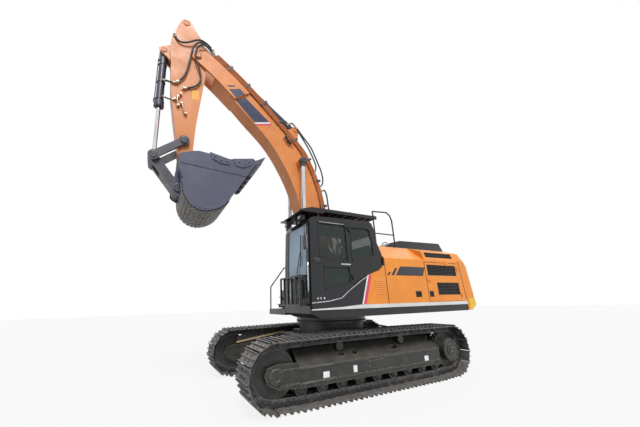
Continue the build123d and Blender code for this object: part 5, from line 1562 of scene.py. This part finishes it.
# %% Consoles and controls
console, metal = bmesh.new(), bmesh.new()
console_outline = [
    (0.05, 1.56), (0.05, 2.06), (0.30, 2.10), (0.66, 2.06), (0.74, 2.00), (0.74, 1.90), (0.48, 1.84),
    (0.40, 1.56),
]
front_outline = [(1.02, 1.475), (1.02, 1.62), (1.12, 1.70), (1.30, 1.72), (1.30, 1.475)]
boot_profile = [(0, 0.045), (0.03, 0.040), (0.05, 0.022), (0.07, 0.018)]
grip_profile = [(0.06, 0.014), (0.10, 0.020), (0.17, 0.024), (0.21, 0.022), (0.225, 0.010)]
for side, mark in ((1, "left"), (-1, "right")):
    y = seat_middle_y + side * 0.345
    join(console, plate_part(console_outline, 0.13, 0.02), Matrix.Translation((0, y - 0.065, 0)))
    join(console, box_part((0.30, 0.09, 0.05), 0.02), Matrix.Translation((0.22, y, 2.145)))
    stick = bmesh.new()
    foot = Matrix.Translation((0.67, y, 2.05))
    join(stick, turned_part(boot_profile, 20), foot)
    join(stick, turned_part(grip_profile, 16), foot @ Matrix.Rotation(math.radians(8), 4, "Y"))
    new_piece("joystick_" + mark, stick, seal_rubber, "upper")
box_between(console, (-0.36, 0.55, 1.48), (-0.14, 1.38, 2.05), 0.03)
join(console, plate_part(front_outline, 0.80, 0.01), Matrix.Translation((0, 0.57, 0)))
display_place = Matrix.Translation((1.16, 0.64, 2.28)) @ Matrix.Rotation(math.radians(-15), 4, "Y")
join(console, box_part((0.05, 0.22, 0.16), 0.012), display_place)
join(console, tube_part([(1.20, 0.60, 1.72), (1.21, 0.60, 1.95), (1.19, 0.62, 2.20)], 0.016))
new_piece("cab_consoles", console, cab_plastic, "upper")
for dy in (-0.075, 0.075):
    y = seat_middle_y + dy
    join(metal, tube_part([(0.98, y, 1.50), (0.96, y, 1.68), (0.92, y, 1.90), (0.90, y, 2.02)], 0.010))
    pedal_place = Matrix.Translation((0.99, y, 1.56)) @ Matrix.Rotation(math.radians(-28), 4, "Y")
    join(metal, box_part((0.16, 0.09, 0.012), 0.004), pedal_place)
new_piece("travel_levers", metal, rod_chrome, "upper")
mat = bmesh.new()
box_between(mat, (0.56, 0.53, 1.4705), (1.34, 1.40, 1.480), 0.003)
for k in range(14):
    box_between(mat, (0.60 + k * 0.05, 0.56, 1.479), (0.61 + k * 0.05, 1.37, 1.484), 0.001)
new_piece("cab_floor_mat", mat, seal_rubber, "upper")

# %% [markdown]
# ## Bonnet and hood
# On the hood stand tread plates, pressed so that boots grip: small bars that turn one way and the
# other in turn. The bonnet has rows of louvres and four grab loops, and in front of it stand the
# exhaust and the air cleaner's cap. The photograph shows little of this, so it follows usual machines.

# %% Bonnet and hood
louvres, loops, treads, exhaust = (bmesh.new() for _ in range(4))
for row in (-0.55, 0.0, 0.55):
    for k in range(9):
        x = -2.90 + k * 0.11
        top = 3.014 + (-1.69 - x) * 0.0197
        wedge = plate_part([(x, top - 0.004), (x + 0.07, top - 0.006), (x + 0.005, top + 0.014)], 0.36, 0.002)
        join(louvres, wedge, Matrix.Translation((0, row - 0.18, 0)))
new_piece("bonnet_louvres", louvres, black_enamel, "engine_bonnet")
# Each loop as its x and the heights of its foot, its corner and its top
loop_heights = ((-3.18, 3.04, 3.085, 3.09), (-1.52, 2.97, 3.02, 3.03))
for y in (-0.5, 0.5):
    for x, foot_z, corner_z, top_z in loop_heights:
        route = [(x, y - 0.09, foot_z), (x, y - 0.09, corner_z), (x, y, top_z)]
        route += [(x, y + 0.09, corner_z), (x, y + 0.09, foot_z)]
        join(loops, tube_part(route, 0.010))
new_piece("bonnet_grab_loops", loops, rail_enamel, "engine_bonnet")
tread_pitch_x, tread_pitch_y = 0.07, 0.06
# Each plate as (x from, x to, y from, y to)
tread_plates = (
    (-1.10, -0.47, 0.30, 1.00), (-1.10, -0.47, -1.00, -0.30), (-2.80, -1.30, 0.92, 1.04),
    (-2.80, -1.30, -1.04, -0.92),
)
for x_from, x_to, y_from, y_to in tread_plates:
    box_between(treads, (x_from, y_from, 2.7702), (x_to, y_to, 2.7742), 0.001)
    spots = []
    for i in range(round((x_to - x_from) / tread_pitch_x)):
        for k in range(round((y_to - y_from) / tread_pitch_y)):
            turn = Matrix.Rotation(math.pi / 4 * (1 if (i + k) % 2 else -1), 4, "Z")
            x, y = x_from + 0.035 + tread_pitch_x * i, y_from + 0.03 + tread_pitch_y * k
            spots.append(Matrix.Translation((x, y, 2.774)) @ turn)
    join(treads, box_part((0.034, 0.009, 0.005), 0.002), copies=spots)
new_piece("hood_tread_plates", treads, rail_enamel, "upper")
exhaust_route = [(-0.80, -0.62, 2.765), (-0.80, -0.62, 2.95), (-0.80, -0.62, 3.05), (-0.84, -0.62, 3.14)]
exhaust_route += [(-0.93, -0.62, 3.16)]
join(exhaust, tube_part(exhaust_route, 0.052, 5))
join(exhaust, ring_part(0.050, 0.085, 0.03), Matrix.Translation((-0.80, -0.62, 2.77)))
cleaner_profile = [(0, 0.07), (0.10, 0.07), (0.11, 0.12), (0.17, 0.125), (0.21, 0.10), (0.225, 0.04)]
join(exhaust, turned_part(cleaner_profile, 28), Matrix.Translation((-0.80, -0.28, 2.77)))
new_piece("exhaust_and_air_cleaner", exhaust, engine_iron, "upper")

# %% [markdown]
# ## Right side
# The photograph doesn't show the right side, so it follows usual machines: a fuel cap on the tank,
# two steps with studs that boots grip, and bolts along the panels. Thin sheets lie on the tool box and
# the tank as treads.

# %% Fuel cap, steps and panel bolts
tank, steps, tank_bolts = bmesh.new(), bmesh.new(), bmesh.new()
cap_profile = [(0, 0.075), (0.04, 0.075), (0.045, 0.095), (0.085, 0.095), (0.095, 0.08), (0.095, 0.02)]
join(tank, turned_part(cap_profile, 32), Matrix.Translation((-0.12, -1.20, 2.42)))
new_piece("fuel_cap", tank, seal_rubber, "upper")
for k in range(2):
    z = 1.52 + 0.19 * k
    box_between(steps, (0.612, -1.43, z), (0.76 - 0.06 * k, -0.98, z + 0.022), 0.006)
    for y in (-1.40, -1.01):
        box_between(steps, (0.612, y - 0.012, z - 0.07), (0.72 - 0.06 * k, y + 0.012, z + 0.004), 0.004)
    spots = [
        Matrix.Translation((0.64 + 0.04 * i, -1.38 + 0.058 * j, z + 0.022))
        for i in range(3 - k) for j in range(7)
    ]
    join(steps, turned_part([(0, 0.009), (0.006, 0.006)], 8), copies=spots)
box_between(steps, (0.45, -1.42, 1.9003), (0.605, -0.52, 1.906), 0.002)
box_between(steps, (-0.36, -1.47, 2.4203), (0.42, -1.33, 2.426), 0.002)
new_piece("right_steps", steps, rail_enamel, "upper")
for x in (-0.36, 0.40):
    for z in (1.60, 1.98, 2.34):
        join(tank_bolts, bolt_part(0.024), aim((x, -1.499, z), (0, -1, 0)))
for y in [0.60 + 0.13 * k for k in range(7)]:
    join(tank_bolts, bolt_part(0.02), aim((1.390, y, 1.50), (1, 0, 0)))
new_piece("panel_bolts", tank_bolts, zinc_plate, "upper")

# %% [markdown]
# ## Brackets on the boom's side
# Halfway up the boom, steel pipes turn into hoses. A bracket of thin plate holds the couplings there,
# with short bent pipes outside it. Each coupling points a slightly different way, which keeps them
# from looking stamped.

# %% Brackets and couplings on the boom's side
bracket, couplings = bmesh.new(), bmesh.new()
for side in (1, -1):
    y = side * 0.212
    low, high = sorted((y, y + side * 0.010))
    outline = [(1.02, 5.48), (1.10, 5.42), (1.26, 5.62), (1.20, 5.74), (1.10, 5.70)]
    join(bracket, plate_part(outline, 0.010, 0.002), Matrix.Translation((0, low, 0)))
    for x, z, turn in ((1.06, 5.53, 0.5), (1.13, 5.57, 0.2), (1.18, 5.66, -0.1)):
        out = Vector((math.sin(turn) * 0.3, side, 0.2))
        join(couplings, fitting_part(0.020), aim((x, y + side * 0.012, z), out))
        join(couplings, bolt_part(0.026), aim((x - 0.03, y + side * 0.010, z + 0.05), (0, side, 0)))
    for offset in (0.0, 0.055):
        route = [
            (0.96 + offset, side * 0.262, 5.470 + offset), (1.02 + offset, side * 0.268, 5.510 + offset),
            (1.08 + offset, side * 0.268, 5.575 + offset), (1.10 + offset, side * 0.262, 5.660 + offset),
        ]
        join(bracket, tube_part(route, 0.013))
# The brackets and their pipes take the pipes' darker orange, which is painted shade.
new_piece("boom_side_brackets", bracket, pipe_orange_with_painted_shade, "boom")
new_piece("boom_side_couplings", couplings, link_steel, "boom")

# %% [markdown]
# ## Wear parts of the bucket
# A bucket wears away from below, so bars lie across its floor and heel that can be cut off and
# replaced. They follow the three arcs of its outline, with their number worked out from each arc's
# length. Big bolts hold the side cutters, and a pin goes through each tooth.

# %% Bucket seams, cutter bolts and tooth pins
tooth_y = 0.560
welds = bmesh.new()
for side in (1, -1):
    low_edge = [
        (2.674, 3.563), (2.83, 3.40), (3.080, 3.300), (3.30, 3.345), (3.465, 3.485), (3.55, 3.68),
        (3.556, 3.877), (3.60, 4.01),
    ]
    join(welds, tube_part([(x - 0.012, side * 0.641, z + 0.016) for x, z in low_edge], 0.007))
new_piece("bucket_welds", welds, slate_enamel, "bucket")
wear_bars = bmesh.new()
# Each arc of the floor and heel as (start, heading, half its turn, radius), with angles in degrees
heel_arcs = (
    ((2.674, 3.563), -59.0, 25.6, 0.563), ((3.080, 3.295), -7.8, 33.2, 0.394),
    ((3.470, 3.480), 58.6, 18.6, 0.638),
)
for (start_x, start_z), heading, half_turn, radius in heel_arcs:
    count = round(radius * math.radians(2 * half_turn) / 0.088)
    for i in range(count):
        part = (i + 0.5) / count
        reach = 2 * radius * math.sin(math.radians(half_turn * part))
        lean = math.radians(heading + half_turn * part)
        along = math.radians(heading + 2 * half_turn * part)
        x = start_x + reach * math.cos(lean) + 0.0195 * math.sin(along)
        z = start_z + reach * math.sin(lean) - 0.0195 * math.cos(along)
        place = Matrix.Translation((x, 0, z)) @ Matrix.Rotation(-along, 4, "Y")
        join(wear_bars, box_part((0.080, 1.25, 0.012), 0.005), place)
new_piece("bucket_wear_bars", wear_bars, bar_steel, "bucket")
cutter_bolts, tooth_pins = bmesh.new(), bmesh.new()
for x, z in ((3.00, 4.462), (2.88, 4.405), (2.75, 4.395), (2.50, 4.445), (2.37, 4.425), (2.285, 4.485)):
    for side in (1, -1):
        join(cutter_bolts, bolt_part(0.042), aim((x, side * 0.672, z), (0, side, 0)))
new_piece("cutter_bolts", cutter_bolts, tooth_steel, "bucket")
for i in range(5):
    y = -tooth_y + 2 * tooth_y * i / 4
    for side in (1, -1):
        spot = aim((2.033, y + side * 0.0445, 4.513), (0, side, 0))
        join(tooth_pins, turned_part([(0, 0.017), (0.006, 0.016), (0.009, 0.010)], 14), spot)
new_piece("tooth_pins", tooth_pins, link_steel, "bucket")
